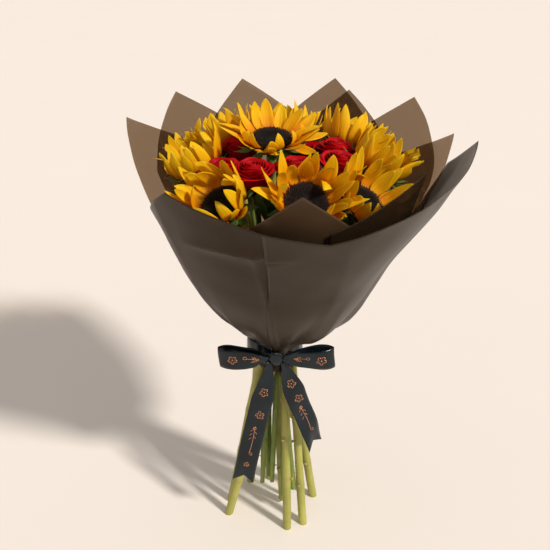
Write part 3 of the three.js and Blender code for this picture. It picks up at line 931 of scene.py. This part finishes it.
crown = np.mean([seat(f"sunflower_{f}_disc")[0] for f in sunflowers], axis=0)
petal_skin = petal_material()
for number, flower in enumerate(sunflowers):
    dice = random.Random(300 + number)
    foot, axis, head = seat(f"sunflower_{flower}_disc")
    cup = cup_angle(f"sunflower_{flower}_petals", head)
    offset = (foot - crown)[:2]
    central = np.hypot(*offset) < disc_radius
    rays = Shape()
    for count, start, raise_by in petal_whorls:
        inner = start < 1
        for k in range(count):
            azimuth = 2 * math.pi * (k + (0.5 if inner else 0)) / count + dice.uniform(-0.14, 0.14)
            final = cup + math.radians(raise_by + dice.uniform(-11, 11))
            curl = dice.uniform(-0.45, 0.75)
            way = np.array(head)[:2, :2] @ (math.cos(azimuth), math.sin(azimuth))
            outward = 0 if central else way @ offset / np.hypot(*offset)
            if abs(outward) > held_side and raise_by < -20:
                continue
            if abs(outward) > held_side:
                curl = abs(curl)
            if outward < -held_side:
                final += math.radians(9)
            folded = inner and dice.random() < 0.2
            folded = folded or (inner and central and -0.97 < math.sin(azimuth) < -0.35)
            if folded:
                curl = dice.uniform(1.0, 1.6)
            length = petal_length * dice.uniform(0.84, 1.08)
            length = length * (0.78 if folded else 1) * (centre_petals if central else 1)
            grid = blade(
                length,
                petal_width * dice.uniform(0.78, 1.16),
                lambda s, final=final, curl=curl: petal_root
                + (final - petal_root) * np.clip(s / 0.36, 0, 1) ** 0.8
                + curl * s**2,
                0.75,
                rows=16,
                columns=9,
                gutter=dice.uniform(0.06, 0.22),
                twist=dice.uniform(-0.8, 0.8),
                sway=dice.uniform(-0.009, 0.009),
                ribs=0.0003,
                strap=3.4,
            )
            base = 0.0012 if inner else 0.0004
            tint = np.full(grid.shape[:2], dice.uniform(0.1, 0.9))
            rays.grid(turned(grid, azimuth, disc_radius * start, base), petal_thickness, tint=tint)
    mesh = rays.mesh(f"{flower}_rays", [petal_skin], head)
    points = np.empty(len(mesh.vertices) * 3)
    mesh.vertices.foreach_get("co", points)
    points = held_in(points.reshape(-1, 3), f"sunflower_{flower}_petals")
    mesh.vertices.foreach_set("co", points.ravel())
    add_piece(f"{flower}_sunflower_petals", mesh, "petals", f"sunflower_{flower}_petals")

# ---------- Roses ----------
# Each bloom is a tight spiral of velvety crimson petals, one tucked inside the next, on a hidden
# cone. The outer ones roll back at their rims. Their colour carries painted shade, darker in the heart
# and at each petal's foot, and a painted highlight that brightens the outer petals and their rims.
rose_radius = 0.019
rose_height = 0.036
rose_petals = 21
rose_petal_thickness = 0.0006
# Painted shade, the petals' own crimson, and a painted highlight for the rims, in that order.
rose_shade_mid_highlight = ((0.040, 0.0003, 0.0010), (0.26, 0.0006, 0.0026), (0.56, 0.003, 0.009))


def rose_material():
    """Velvety crimson petals, with painted shade deep in the folds and the heart, and a painted highlight
    on the rims.
    """
    material, tree, place = new_material("rose_petal")
    uv = flat_place(tree)
    along = part_of(tree, uv, "Y")
    tint = attribute(tree, "tint")
    clouds = noise(tree, place, 90, 4)
    # Dark at each petal's foot and on the inner petals, bright at the outer rims: painted shade and
    # painted highlight.
    share = times(tree, along, plus(tree, tint, 0.45))
    clouded = times(tree, minus(tree, clouds, 0.5), 0.35)
    share = plus(tree, share, clouded)
    colour = ramp(tree, share, (0.1, rose_shade_mid_highlight[0]), (0.55, rose_shade_mid_highlight[1]), (1.0, rose_shade_mid_highlight[2]))
    veins = noise(tree, stretched(tree, uv, (34, 3, 1)), 1.0, 3)
    look = {
        "Base Color": colour,
        "Roughness": 0.5,
        "Specular IOR Level": 0.14,
        "Sheen Weight": 0.03,
        "Sheen Roughness": 0.4,
        "Sheen Tint": (1.0, 0.2, 0.2, 1.0),
        "Normal": bump(tree, veins, 0.3, 0.0004),
    }
    glow = wire(tree, "ShaderNodeBsdfTranslucent", {"Color": colour})
    return finished(material, tree, look, glow, 0.15)


def rose_petal(place, dice, rows=13, columns=15):
    """One petal: place runs from 0 in the heart to 1 outside."""
    u = np.linspace(-1, 1, columns)[None, :]
    v = np.linspace(0, 1, rows)[:, None]
    middle = 0.0017 + (rose_radius * 0.93 - 0.0017) * place**0.85
    span = math.radians(215 - 95 * place)
    top = rose_height * (0.93 + 0.05 * math.sin(5 * place) - 0.10 * place**3) * dice.uniform(0.96, 1.03)
    width = 0.34 + 0.66 * np.sin(np.clip(v * 1.35, 0, 1) * math.pi / 2)
    angle = u * span / 2 * width
    belly = 0.36 + 0.64 * np.sin(np.clip(v / 0.62, 0, 1) * math.pi / 2)
    open_by = (-0.10 + 0.26 * place) * middle
    reach = middle * belly + open_by * np.clip((v - 0.5) / 0.5, 0, 1) ** 1.5
    reach = reach + 0.0009 * u * (0.3 + place)
    roll = np.clip((v - 0.8) / 0.2, 0, 1) ** 2
    lip = (0.0006 + 0.0034 * place**1.4) * dice.uniform(0.7, 1.25)
    wave = np.sin(angle * dice.uniform(2.5, 5) + dice.uniform(0, 6))
    wave = 0.0007 * place * wave * np.clip(v - 0.3, 0, 1)
    reach = reach + lip * roll + wave
    rim = 1 - (0.05 + 0.10 * place) * np.abs(u) ** 2.6 + 0.02 * np.exp(-((u / 0.14) ** 2)) * place
    height = top * v * rim - lip * 0.55 * roll
    return np.stack([reach * np.cos(angle), reach * np.sin(angle), height + 0 * angle], -1)


rose_petal_skin = rose_material()
for number, flower in enumerate(roses):
    dice = random.Random(400 + number)
    foot, axis, head = seat(f"rose_{flower}_bloom")
    bloom = Shape()
    heart = [
        (0.0, 0.0),
        (0.0062, 0.0004),
        (0.0072, rose_height * 0.2),
        (0.0030, rose_height * 0.6),
        (0.0012, rose_height * 0.84),
        (0.0, rose_height * 0.86),
    ]
    # The heart sits low on the colour ramp: painted shade.
    lathe(bloom, heart, 16, tint=0.2)
    for k in range(rose_petals):
        place = k / (rose_petals - 1)
        azimuth = k * golden_angle * 0.97 + dice.uniform(-0.1, 0.1) + number
        grid = turned(rose_petal(place, dice), azimuth, 0.0, 0.0003)
        # Outer petals sit higher on the colour ramp, as painted highlight, and inner ones lower, as
        # painted shade.
        bloom.grid(grid, rose_petal_thickness, tint=0.25 + 0.6 * place + dice.uniform(-0.12, 0.12))
    mesh = bloom.mesh(f"{flower}_bloom", [rose_petal_skin], head)
    add_piece(f"{flower}_rose_bloom", mesh, "rose", f"rose_{flower}_bloom")

# ---------- Leaf ----------
# A single serrated rose leaf, left on its stalk, that stands up between two heads.
leaf_thickness = 0.0006
leaf_colours = ((0.02, 0.075, 0.015), (0.07, 0.19, 0.05))
leaf_teeth = 11


def leaf_material():
    """Dark green blade with a paler midrib and side veins."""
    material, tree, place = new_material("leaf_blade")
    uv = flat_place(tree)
    off = math_node(tree, "ABSOLUTE", minus(tree, part_of(tree, uv, "X"), 0.5))
    slant = minus(tree, times(tree, part_of(tree, uv, "Y"), 9.0), times(tree, off, 6.0))
    near = math_node(tree, "ABSOLUTE", minus(tree, math_node(tree, "FRACT", slant), 0.5))
    vein = math_node(tree, "LESS_THAN", near, 0.07)
    rib = math_node(tree, "LESS_THAN", off, 0.03)
    lines = math_node(tree, "MAXIMUM", times(tree, vein, 0.5), rib)
    clouds = noise(tree, place, 130, 3)
    green = ramp(tree, clouds, (0.3, leaf_colours[0]), (0.7, leaf_colours[1]))
    colour = blend(tree, times(tree, lines, 0.6), green, (0.22, 0.34, 0.12))
    look = {"Base Color": colour, "Roughness": 0.42, "Normal": bump(tree, lines, -0.5, 0.0006)}
    glow = wire(tree, "ShaderNodeBsdfTranslucent", {"Color": colour})
    return finished(material, tree, look, glow, 0.2)


leaf_low, leaf_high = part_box("leaf")
leaf_line = centreline("leaf", np.linspace(leaf_low.z + 0.001, leaf_high.z - 0.001, 7))
rows, columns = 45, 11
spine = smooth_line(leaf_line, np.linspace(0, 1, rows))
leaf_cad = cad_points("leaf")
leaf_mid = leaf_cad[abs(leaf_cad[:, 2] - (leaf_low.z + leaf_high.z) / 2) < 0.012]
leaf_side = leaf_mid[leaf_mid[:, 0].argmax()] - leaf_mid[leaf_mid[:, 0].argmin()]
leaf_half = np.linalg.norm(leaf_side) / 2
leaf_side = unit(leaf_side)
share = np.linspace(0, 1, rows)
tooth = 1 + 0.10 * (share * leaf_teeth % 1)
edge = leaf_half * np.maximum(np.sin(math.pi * share**0.8) ** 0.9, 0.05) * tooth
side = np.linspace(-1, 1, columns)
out = unit(np.cross(leaf_side, spine[-1] - spine[0]))
blade_points = (
    spine[:, None]
    + side[None, :, None] * edge[:, None, None] * leaf_side
    - out * (abs(side)[None, :, None] * edge[:, None, None] * 0.35)
)
add_strip("rose_leaf", "leaf", blade_points, leaf_thickness, leaf_material(), "leaf")

# ---------- Binding tape ----------
# A few turns of clear floral tape round the crossing stems, hidden under the film and the ribbon.
tape_turns = 4
tape_thickness = 0.0005


def ring_points(node, rows, columns, wave):
    """A ring the size of a CAD band, as a grid of points on its middle. wave(angle, height) moves
    it out, with height from -1 to 1."""
    low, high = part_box(node)
    middle = (low + high) / 2
    reach = (high.x - low.x) / 2
    angle = np.linspace(0, 2 * math.pi, columns, endpoint=False)[None, :]
    height = np.linspace(-1, 1, rows)[:, None]
    out = reach + wave(angle, height)
    z = middle.z + height * (high.z - low.z) / 2 * 0.99
    return np.stack([middle.x + out * np.cos(angle), middle.y + out * np.sin(angle), z + 0 * angle], -1)


def tape_material():
    """Milky, stretched plastic tape."""
    material, tree, place = new_material("floral_tape")
    lines = noise(tree, stretched(tree, place, (60, 60, 900)), 1.0, 3)
    colour = ramp(tree, lines, (0.3, (0.45, 0.43, 0.33)), (0.7, (0.68, 0.66, 0.55)))
    look = {"Base Color": colour, "Roughness": 0.3, "Normal": bump(tree, lines, 0.5, 0.0004)}
    return finished(material, tree, look)


tape_points = ring_points(
    "binding_tape", 13, 128, lambda a, h: -0.0006 + 0.00025 * np.sin(tape_turns * math.pi * h + a)
)
add_strip("stem_tape", "binding_tape", tape_points, tape_thickness, tape_material(), "tape", ring=True)

# ---------- Film wrap ----------
# Eleven squares of thin, smoke-brown film, set corner up in overlapping layers round the heads and
# gathered into pleats under the ribbon. It lets light through, and creases where it is bent. Those in
# front are folded double, so they are darker, and their lower edges hang over the ribbon. The front
# sheet's colour is painted lighter than the rest, as painted light that its outward lean keeps off it.
cad_film = 0.0006
film_thickness = 0.0002
film_clear = (0.64, 0.54, 0.44)
film_body = ((0.018, 0.0105, 0.0054), (0.031, 0.0195, 0.0106))
# Painted light: a lighter body colour for the front sheet, for light that its outward lean keeps off it.
painted_light_body = ((0.050, 0.0290, 0.0150), (0.075, 0.0460, 0.0260))
film_share = 0.74
folded_sheets = {
    "film_wrap_left": 0.2,
    "film_wrap_right": 0.2,
    "film_front_right": 0.26,
    "film_front": 0.2,
}
pleats = 9
pleat_depth = 0.0046
neck_lean = 0.013
crease_depth = 0.0055
front_crease = ((220, 0.422), (232, 0.4255), (245, 0.4265), (257, 0.425), (265, 0.429), (274, 0.434))
lap_edge = ((257, 0.428), (258, 0.395), (261, 0.361), (266.5, 0.309), (276.5, 0.252))
skirt_drop = 0.016
sheets = [n for n in nodes if n.startswith("film_")]
knot_low, knot_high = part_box("ribbon_knot")
band_low, band_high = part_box("ribbon_band")
tie = (band_low + band_high) / 2
film_top = max(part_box(sheet)[1].z for sheet in sheets)


def film_material(name, see_through, body=film_body):
    """Tinted film with a soft gloss. see_through is the share of light that each face lets by."""
    material, tree, place = new_material(name)
    clouds = noise(tree, place, 11, 3)
    pulled = noise(tree, stretched(tree, place, (46, 46, 9)), 1.0, 2)
    look = {
        "Base Color": ramp(tree, clouds, (0.3, body[0]), (0.7, body[1])),
        "Roughness": 0.36,
        "Specular IOR Level": 0.3,
        "Specular Tint": (1.0, 0.80, 0.60, 1.0),
        "Coat Weight": 0.06,
        "Coat Roughness": 0.25,
        "Normal": bump(tree, pulled, 0.12, 0.0012),
    }
    clear = wire(tree, "ShaderNodeBsdfTransparent", {"Color": (*film_clear, 1)})
    return finished(material, tree, look, clear, see_through)


def sheet_rows(node, thickness):
    """One side of a CAD sheet as a grid of points: rows from its lowest edge, and columns along it.
    The sheet's cells were all cut along the same diagonal, which tells its rows apart."""
    mesh = bmesh.new()
    mesh.from_mesh(nodes[node].data)
    bmesh.ops.remove_doubles(mesh, verts=mesh.verts, dist=1e-6)
    narrow = [f for f in mesh.faces if min(e.calc_length() for e in f.edges) < thickness * 1.05]
    bmesh.ops.delete(mesh, geom=narrow, context="FACES")

    def around(corner):
        return {edge.other_vert(corner) for edge in corner.link_edges}

    start = max(mesh.verts, key=lambda v: math.hypot(v.co.x - tie.x, v.co.y - tie.y))
    side = {start}
    fresh = [start]
    while fresh:
        fresh = [v for corner in fresh for v in around(corner) if v not in side]
        side.update(fresh)
    first = min((v for v in side if len(v.link_faces) == 2), key=lambda v: v.co.z)
    row = [first]
    seen = {first}
    while len(row[-1].link_faces) != 1:
        edges = [e for e in row[-1].link_edges if e.is_boundary]
        ahead = [e.other_vert(row[-1]) for e in edges if e.other_vert(row[-1]) not in seen]
        row.append(min(ahead, key=lambda v: v.co.z))
        seen.add(row[-1])
    rows = [row]
    while around(rows[-1][0]) - seen:
        below = rows[-1]
        above = []
        for left, right in zip(below, below[1:]):
            above += (around(left) & around(right)) - seen
            seen.add(above[-1])
        above.insert(0, (around(below[0]) - seen).pop())
        seen.add(above[0])
        rows.append(above)
    grid = np.array([[tuple(v.co) for v in row] for row in rows])
    mesh.free()
    return grid


def cup_axis(z):
    """The middle of the cup at each height: from the tie over to the middle of the heads."""
    share = eased(np.clip((z - tie.z) / (0.6 * (film_top - tie.z)), 0, 1))
    return tie.x + (crown[0] - tie.x) * share, tie.y + (crown[1] - tie.y) * share


def fold_line(x):
    """A zigzag between -1 and 1, once for each whole turn of x."""
    return 4 * np.abs(x - np.floor(x + 0.5)) - 1


def level_crease(azimuth, z):
    """A sharp bent line round the front of the cup."""
    at, height = np.array(front_crease).T
    turn = np.degrees(azimuth) % 360
    line = np.interp(turn, at, height, left=-1, right=-1)
    share = np.interp(turn, at, np.linspace(0, 1, len(at)), left=0, right=0)
    off = (z - line) / 0.014
    return crease_depth * np.sin(math.pi * share) * np.where(off > 0, np.exp(-off), np.exp(3 * off))


def upright_crease(azimuth, z):
    """The edge where one wrapping sheet laps over the next, from the crease down to the knot."""
    at, height = np.array(lap_edge).T
    line = np.interp(z, height[::-1], at[::-1])
    off = (np.degrees(azimuth) % 360 - line) / 9
    fade = np.clip((height[0] + 0.012 - z) / 0.02, 0, 1)
    return crease_depth * 0.7 * fade * np.where(off < 0, np.exp(off), np.exp(-6 * off))


def folds(azimuth, z):
    """How far every layer stands in or out: pleats that fan up from the tie, and broad flats."""
    rise = (z - band_high.z) / (film_top - band_high.z)
    start = np.clip(rise / 0.05, 0, 1) ** 1.5
    turn = azimuth / (2 * math.pi)
    drift = 0.05 * np.sin(3 * azimuth + 1.3) + 0.03 * np.sin(5 * azimuth)
    sharp = fold_line(pleats * (turn + drift) + 0.25 * rise)
    broad = fold_line(5 * turn + 0.35 + 0.2 * rise)
    fan = pleat_depth * np.exp(-((rise - 0.10) / 0.17) ** 2)
    flats = 0.0042 * np.clip((rise - 0.08) / 0.3, 0, 1) * np.clip((1.05 - rise) / 0.5, 0, 1)
    lean = neck_lean * np.clip(rise / 0.06, 0, 1) * np.clip((0.42 - rise) / 0.3, 0, 1) ** 1.5
    bent = level_crease(azimuth, z) + upright_crease(azimuth, z)
    return start * (fan * sharp + flats * broad + bent) + lean * np.cos(azimuth)


def run_of(grid):
    """A ribbon grid's length along its middle."""
    return float(np.linalg.norm(np.diff(grid[:, grid.shape[1] // 2], axis=0), axis=1).sum())


single_film = film_material("smoke_film", film_share)
# The front sheet takes the lighter body colour, as painted light; the others take the plain body.
doubled_film = {
    sheet: film_material(
        sheet.replace("film", "doubled"), share, painted_light_body if sheet == "film_front" else film_body
    )
    for sheet, share in folded_sheets.items()
}
for number, sheet in enumerate(sheets):
    dice = np.random.default_rng(500 + number)
    coarse = sheet_rows(sheet, cad_film)
    rise = np.linspace(0, 1, 84)
    columns = np.stack([smooth_line(coarse[:, i], rise) for i in range(coarse.shape[1])], 1)
    ax, ay = cup_axis(columns[..., 2])
    azimuth = np.unwrap(np.arctan2(columns[..., 1] - ay, columns[..., 0] - ax), axis=1)
    if azimuth[0, 0] > azimuth[0, -1]:
        columns, azimuth, ax, ay = columns[:, ::-1], azimuth[:, ::-1], ax[:, ::-1], ay[:, ::-1]
    reach = np.hypot(columns[..., 0] - ax, columns[..., 1] - ay)
    spans = np.maximum(1, np.round(np.degrees(np.diff(azimuth[-1])) / 1.3)).astype(int)
    fine = np.concatenate([[0], *[k + np.arange(1, n + 1) / n for k, n in enumerate(spans)]])
    whole = np.arange(len(spans) + 1)
    azimuth, reach, z = (
        np.array([np.interp(fine, whole, line) for line in values])
        for values in (azimuth, reach, columns[..., 2])
    )
    azimuth = azimuth + (2 * math.pi if azimuth.mean() < -0.6 else 0)
    reach = reach - cad_film / 2 + folds(azimuth, z)
    share = (z - band_high.z) / (film_top - band_high.z)
    ripple = dice.uniform(0, 6, 4)
    own = np.sin(9 * azimuth + ripple[0] + 14 * share) * np.sin(23 * share + ripple[1])
    own = own + 0.5 * np.sin(21 * azimuth + ripple[2] - 17 * share)
    reach = reach + 0.0005 * own * np.clip(share, 0, 1)
    ax, ay = cup_axis(z)
    if sheet in folded_sheets:
        low = np.clip(1 - share / 0.05, 0, 1)
        tip = np.exp(-(((np.degrees(azimuth) % 360 - 276) / 16) ** 2))
        z = z - low * (skirt_drop * (0.55 + 0.45 * tip) + 0.002 * fold_line(azimuth * 2.7))
        reach = reach + 0.0016 * low
    points = np.stack([ax + reach * np.cos(azimuth), ay + reach * np.sin(azimuth), z], -1)
    shape = Shape()
    shape.grid(points, film_thickness)
    name = sheet[len("film_") :]
    film = doubled_film.get(sheet, single_film)
    piece = add_piece(f"{name}_film_sheet", shape.mesh(name, [film]), "film", sheet)
    flat = (max(run_of(row[:, None]) for row in points), run_of(points))

# ---------- Ribbon ----------
# One length of dark satin ribbon, wound round the gathered film and tied in a bow. Its face is
# stamped in rose gold with small blossoms and long-stemmed sprays. Its ends are cut to a swallowtail.
cad_ribbon = 0.0007
satin_thickness = cad_ribbon * 0.7
foil_thickness = 0.00008
satin_colours = ((0.0020, 0.0046, 0.0070), (0.0055, 0.0120, 0.0170))
foil_colour = (0.95, 0.42, 0.20)
foil_line = 0.00045
blossom_reach = 0.0058
spray_length = 0.034
gather_length = 0.02


def satin_material():
    """Dark blue-green satin: fine threads across the ribbon, with a long soft shine."""
    material, tree, place = new_material("navy_satin")
    uv = flat_place(tree)
    threads = noise(tree, stretched(tree, uv, (7, 900, 1)), 1.0, 2)
    shade = noise(tree, place, 40, 2)
    colour = ramp(tree, shade, (0.3, satin_colours[0]), (0.7, satin_colours[1]))
    look = {
        "Base Color": colour,
        "Roughness": 0.17,
        "Specular IOR Level": 0.33,
        "Sheen Weight": 0.01,
        "Sheen Roughness": 0.3,
        "Sheen Tint": (0.45, 0.7, 0.85, 1.0),
        "Normal": bump(tree, threads, 0.18, 0.0002),
    }
    return finished(material, tree, look)


def foil_material():
    """Rose-gold foil, a little rubbed."""
    material, tree, place = new_material("rose_gold_foil")
    rubbed = noise(tree, place, 1400, 3)
    colour = ramp(tree, rubbed, (0.3, (0.66, 0.24, 0.10)), (0.6, foil_colour))
    normal = bump(tree, rubbed, 0.3, 0.0002)
    look = {"Base Color": colour, "Metallic": 0.7, "Roughness": 0.32, "Normal": normal}
    return finished(material, tree, look)


def at_grid(grid, across, along):
    """Points and normals of a grid at fractional places: columns across, rows along."""
    rows, columns = grid.shape[:2]
    normal = facing(grid)
    i = np.clip(np.asarray(along, float), 0, rows - 1.001)
    j = np.clip(np.asarray(across, float), 0, columns - 1.001)
    a, b = i.astype(int), j.astype(int)
    s, t = (i - a)[:, None], (j - b)[:, None]

    def mixed(values):
        low = values[a, b] * (1 - t) + values[a, b + 1] * t
        high = values[a + 1, b] * (1 - t) + values[a + 1, b + 1] * t
        return low * (1 - s) + high * s

    return mixed(grid), mixed(normal)


def stroke(shape, grid, line, side, lift):
    """A stamped line on a ribbon: points are metres across from its middle and along from its top."""
    line = np.asarray(line, float)
    rows, columns = grid.shape[:2]
    length = np.linalg.norm(np.diff(grid[:, columns // 2], axis=0), axis=1).sum()
    wide = np.linalg.norm(np.diff(grid[rows // 2], axis=0), axis=1).sum()
    way = np.gradient(line, axis=0)
    way /= np.maximum(np.linalg.norm(way, axis=1, keepdims=True), 1e-9)
    normal = np.stack([-way[:, 1], way[:, 0]], -1) * foil_line / 2
    edges = []
    for sign in (-1, 1):
        x, y = (line + sign * normal).T
        points, out = at_grid(grid, (x / wide + 0.5) * (columns - 1), y / length * (rows - 1))
        edges.append(points + out * side * lift)
    shape.grid(np.stack(edges, 1), foil_thickness, slot=1)


def curl(centre, reach, start, stop, steps=9):
    """Points on a round arc, angles in turns."""
    angles = np.linspace(start, stop, steps) * 2 * math.pi
    return np.stack([centre[0] + reach * np.cos(angles), centre[1] + reach * np.sin(angles)], -1)


def blossom(x, y, reach=blossom_reach, turn=0.0):
    """Strokes of a small five-petalled flower."""
    lines = [curl((x, y), reach * 0.11, 0, 1)]
    for k in range(5):
        way = 2 * math.pi * (k / 5 + turn)
        centre = (x + 0.66 * reach * math.cos(way), y + 0.66 * reach * math.sin(way))
        lines.append(curl(centre, reach * 0.28, way / 2 / math.pi - 0.38, way / 2 / math.pi + 0.38))
    return lines


def spray(x, y, length=spray_length):
    """Strokes of a long stem with small leaves, a curl at its foot and a bud at its tip."""
    stem = [(x + 0.0012 * math.sin(3 * s), y + s * length) for s in np.linspace(0, 1, 12)]
    lines = [stem, curl((x + 0.002, y + length), 0.002, 0.5, -0.3)]
    for k in range(5):
        foot = (x, y + length * (0.06 + 0.09 * k))
        sign = 1 if k % 2 else -1
        centre = (foot[0] + sign * 0.0019, foot[1])
        lines.append(curl(centre, 0.0019, 0.25 - 0.25 * sign, 0.25 - 0.55 * sign))
    lines += [curl((x, y - 0.0022), 0.0021, 0, 1), curl((x, y - 0.0022), 0.0011, 0.1, 0.9)]
    return lines


def ribbon_grid(node, fine_rows):
    """A CAD strip as a fine grid: rows along the ribbon from the knot, and nine columns across."""
    grid = sheet_rows(node, cad_ribbon)
    if grid.shape[0] < grid.shape[1]:
        grid = grid.transpose(1, 0, 2)
    centre = np.array((knot_low + knot_high) / 2)
    if np.linalg.norm(grid[0, 1] - centre) > np.linalg.norm(grid[-1, 1] - centre):
        grid = grid[::-1]
    if grid[0, 0, 2] + grid[-1, 0, 2] + grid[0, 0, 0] > grid[0, -1, 2] + grid[-1, -1, 2] + grid[0, -1, 0]:
        grid = grid[:, ::-1]
    lines = [smooth_line(grid[:, j], np.linspace(0, 1, fine_rows)) for j in range(grid.shape[1])]
    lines = np.stack(lines, 1)
    share = np.linspace(0, grid.shape[1] - 1, 9)
    low = np.minimum(share.astype(int), grid.shape[1] - 2)
    part = (share - low)[None, :, None]
    return lines[:, low] * (1 - part) + lines[:, low + 1] * part


def gathered(grid, both_ends, rise):
    """Pulls a ribbon's end into pleats where it leaves the knot, and tucks it under by rise."""
    share = np.linspace(0, 1, len(grid))
    near = np.minimum(share, 1 - share) if both_ends else share
    near = eased(np.clip(near * run_of(grid) / gather_length, 0, 1))
    middle = grid[:, grid.shape[1] // 2 : grid.shape[1] // 2 + 1]
    across = np.linspace(-1, 1, grid.shape[1])[None, :, None]
    pleated = facing(grid) * 0.0016 * np.cos(3 * math.pi * across)
    tight = (1 - near)[:, None, None]
    pleated = pleated * tight * near[:, None, None] ** 0.3
    lifted = np.array([0.0, 0.0, rise]) * tight
    rolled = facing(grid) * 0.0011 * np.sin(4.3 * math.pi * share[:, None, None] + 1.6 * across)
    return middle + (grid - middle) * (1 - 0.52 * tight) + pleated + lifted + rolled


satin = satin_material()
foil = foil_material()


def add_ribbon(name, node, grid, motifs, side):
    """One stretch of the ribbon, with its stamped motifs on the side that faces out."""
    shape = Shape()
    shape.grid(grid, satin_thickness)
    for line in motifs:
        stroke(shape, grid, line, side, cad_ribbon * 0.35 + 0.00003)
    piece = add_piece(name, shape.mesh(name, [satin, foil]), "ribbon", node)


band_points = ring_points(
    "ribbon_band",
    9,
    160,
    lambda a, h: -cad_ribbon / 2 + 0.00035 * np.sin(7 * a + 2 * h) + 0.0002 * np.sin(19 * a),
)
band = add_strip("bow_band", "ribbon_band", band_points, satin_thickness, satin, "ribbon", ring=True)
band_length = run_of(band_points.transpose(1, 0, 2))

knot_middle = np.array((knot_low + knot_high) / 2)
knot_size = np.array(knot_high - knot_low)
knot_shape = Shape()
theta = np.linspace(0, 2 * math.pi, 48, endpoint=False)[:, None]
cross = np.linspace(-1, 1, 15)[None, :]
pinch = 0.84 + 0.16 * np.abs(np.cos(theta)) ** 2
pleat = 0.0004 * np.cos(4.5 * math.pi * cross) * (1 - cross**4)
round_off = np.sqrt(np.maximum(1 - 0.86 * np.abs(cross) ** 3, 0.05))
knot_points = np.stack(
    [
        knot_middle[0] + cross * knot_size[0] / 2 * pinch + 0.0004 * np.sin(2 * theta),
        knot_middle[1] + (knot_size[1] / 2 * round_off + pleat) * np.cos(theta) * 0.98,
        knot_middle[2] + (knot_size[2] / 2 * round_off + pleat) * np.sin(theta) * 0.98,
    ],
    -1,
).transpose(1, 0, 2)
knot_shape.grid(knot_points, ring=True)
cap(knot_shape, knot_points[0], 0, np.array([-1.0, 0, 0]), rings=2)
cap(knot_shape, knot_points[-1], 0, np.array([1.0, 0, 0]), rings=2)
add_piece("bow_knot", knot_shape.mesh("bow_knot", [satin]), "ribbon", "ribbon_knot")

for side_name in ("left", "right"):
    grid = ribbon_grid(f"ribbon_loop_{side_name}", 90)
    length = run_of(grid)
    grid = gathered(grid, True, 0.0)
    motifs = [*blossom(0, length * 0.36, turn=0.1), *spray(0.001, length * 0.14, 0.012)]
    front = 1 if side_name == "left" else -1
    add_ribbon(f"bow_loop_{side_name}", f"ribbon_loop_{side_name}", grid, motifs, front)
for side_name in ("left", "right"):
    grid = ribbon_grid(f"ribbon_tail_{side_name}", 110)
    length = run_of(grid)
    grid = gathered(grid, False, 0.006)
    motifs = [*blossom(0, length * 0.22, turn=0.05), *blossom(0.002, length * 0.42, turn=0.3)]
    motifs += spray(0.0, length * 0.57, min(spray_length, length * 0.3))
    if side_name == "left":
        motifs += blossom(0, length * 0.91, 0.0036)
    add_ribbon(f"bow_tail_{side_name}", f"ribbon_tail_{side_name}", grid, motifs, -1)

# ---------- Studio ----------
# A pale cream floor, one key light from high on the front right with soft-edged shadows, pale walls
# all round that fill them, and a camera that looks down on the bunch.
floor_size = 24.0
floor_colour = (0.85, 0.80, 0.765)
camera_back = 0.901
camera_height = 0.800
camera_pitch = 27.28
camera_lens = 58.9


def floor_material():
    """Matt cream paper."""
    material, tree, place = new_material("cream_floor")
    clouds = noise(tree, place, 3, 2)
    colour = ramp(tree, clouds, (0.2, (0.835, 0.785, 0.75)), (0.8, floor_colour))
    return finished(material, tree, {"Base Color": colour, "Roughness": 0.9})


floor_shape = Shape()
far = floor_size / 2
floor_shape.add([(-far, -far, 0), (far, -far, 0), (far, far, 0), (-far, far, 0)], [(0, 1, 2, 3)], (0, 0))
floor = bpy.data.objects.new("floor", floor_shape.mesh("floor", [floor_material()]))
bpy.context.scene.collection.objects.link(floor)

lamp = bpy.data.lights.new("key_light", "SUN")
lamp.energy = 3.25
lamp.angle = 0.12
lamp.color = (1.0, 0.93, 0.84)
key = bpy.data.objects.new("key_light", lamp)
key.rotation_euler = (math.radians(50), 0, math.radians(50))
bpy.context.scene.collection.objects.link(key)

world = bpy.data.worlds.new("studio")
world.use_nodes = True
sky = world.node_tree
way = wire(sky, "ShaderNodeTexCoord").outputs["Generated"]
level = part_of(sky, way, "Z")
walls = ramp(sky, level, (0.06, (0.93, 0.82, 0.71)), (0.5, (0.46, 0.43, 0.40)), (1.0, (0.40, 0.38, 0.36)))
sky.links.new(walls, sky.nodes["Background"].inputs["Color"])
bpy.context.scene.world = world
bpy.context.scene.view_settings.view_transform = "Standard"

lens = bpy.data.cameras.new("camera")
lens.lens = camera_lens
lens.sensor_width = 36
camera = bpy.data.objects.new("camera", lens)
camera.location = (tie.x, tie.y - camera_back, camera_height)
camera.rotation_euler = (math.radians(90 - camera_pitch), 0, 0)
bpy.context.scene.collection.objects.link(camera)
bpy.context.scene.camera = camera
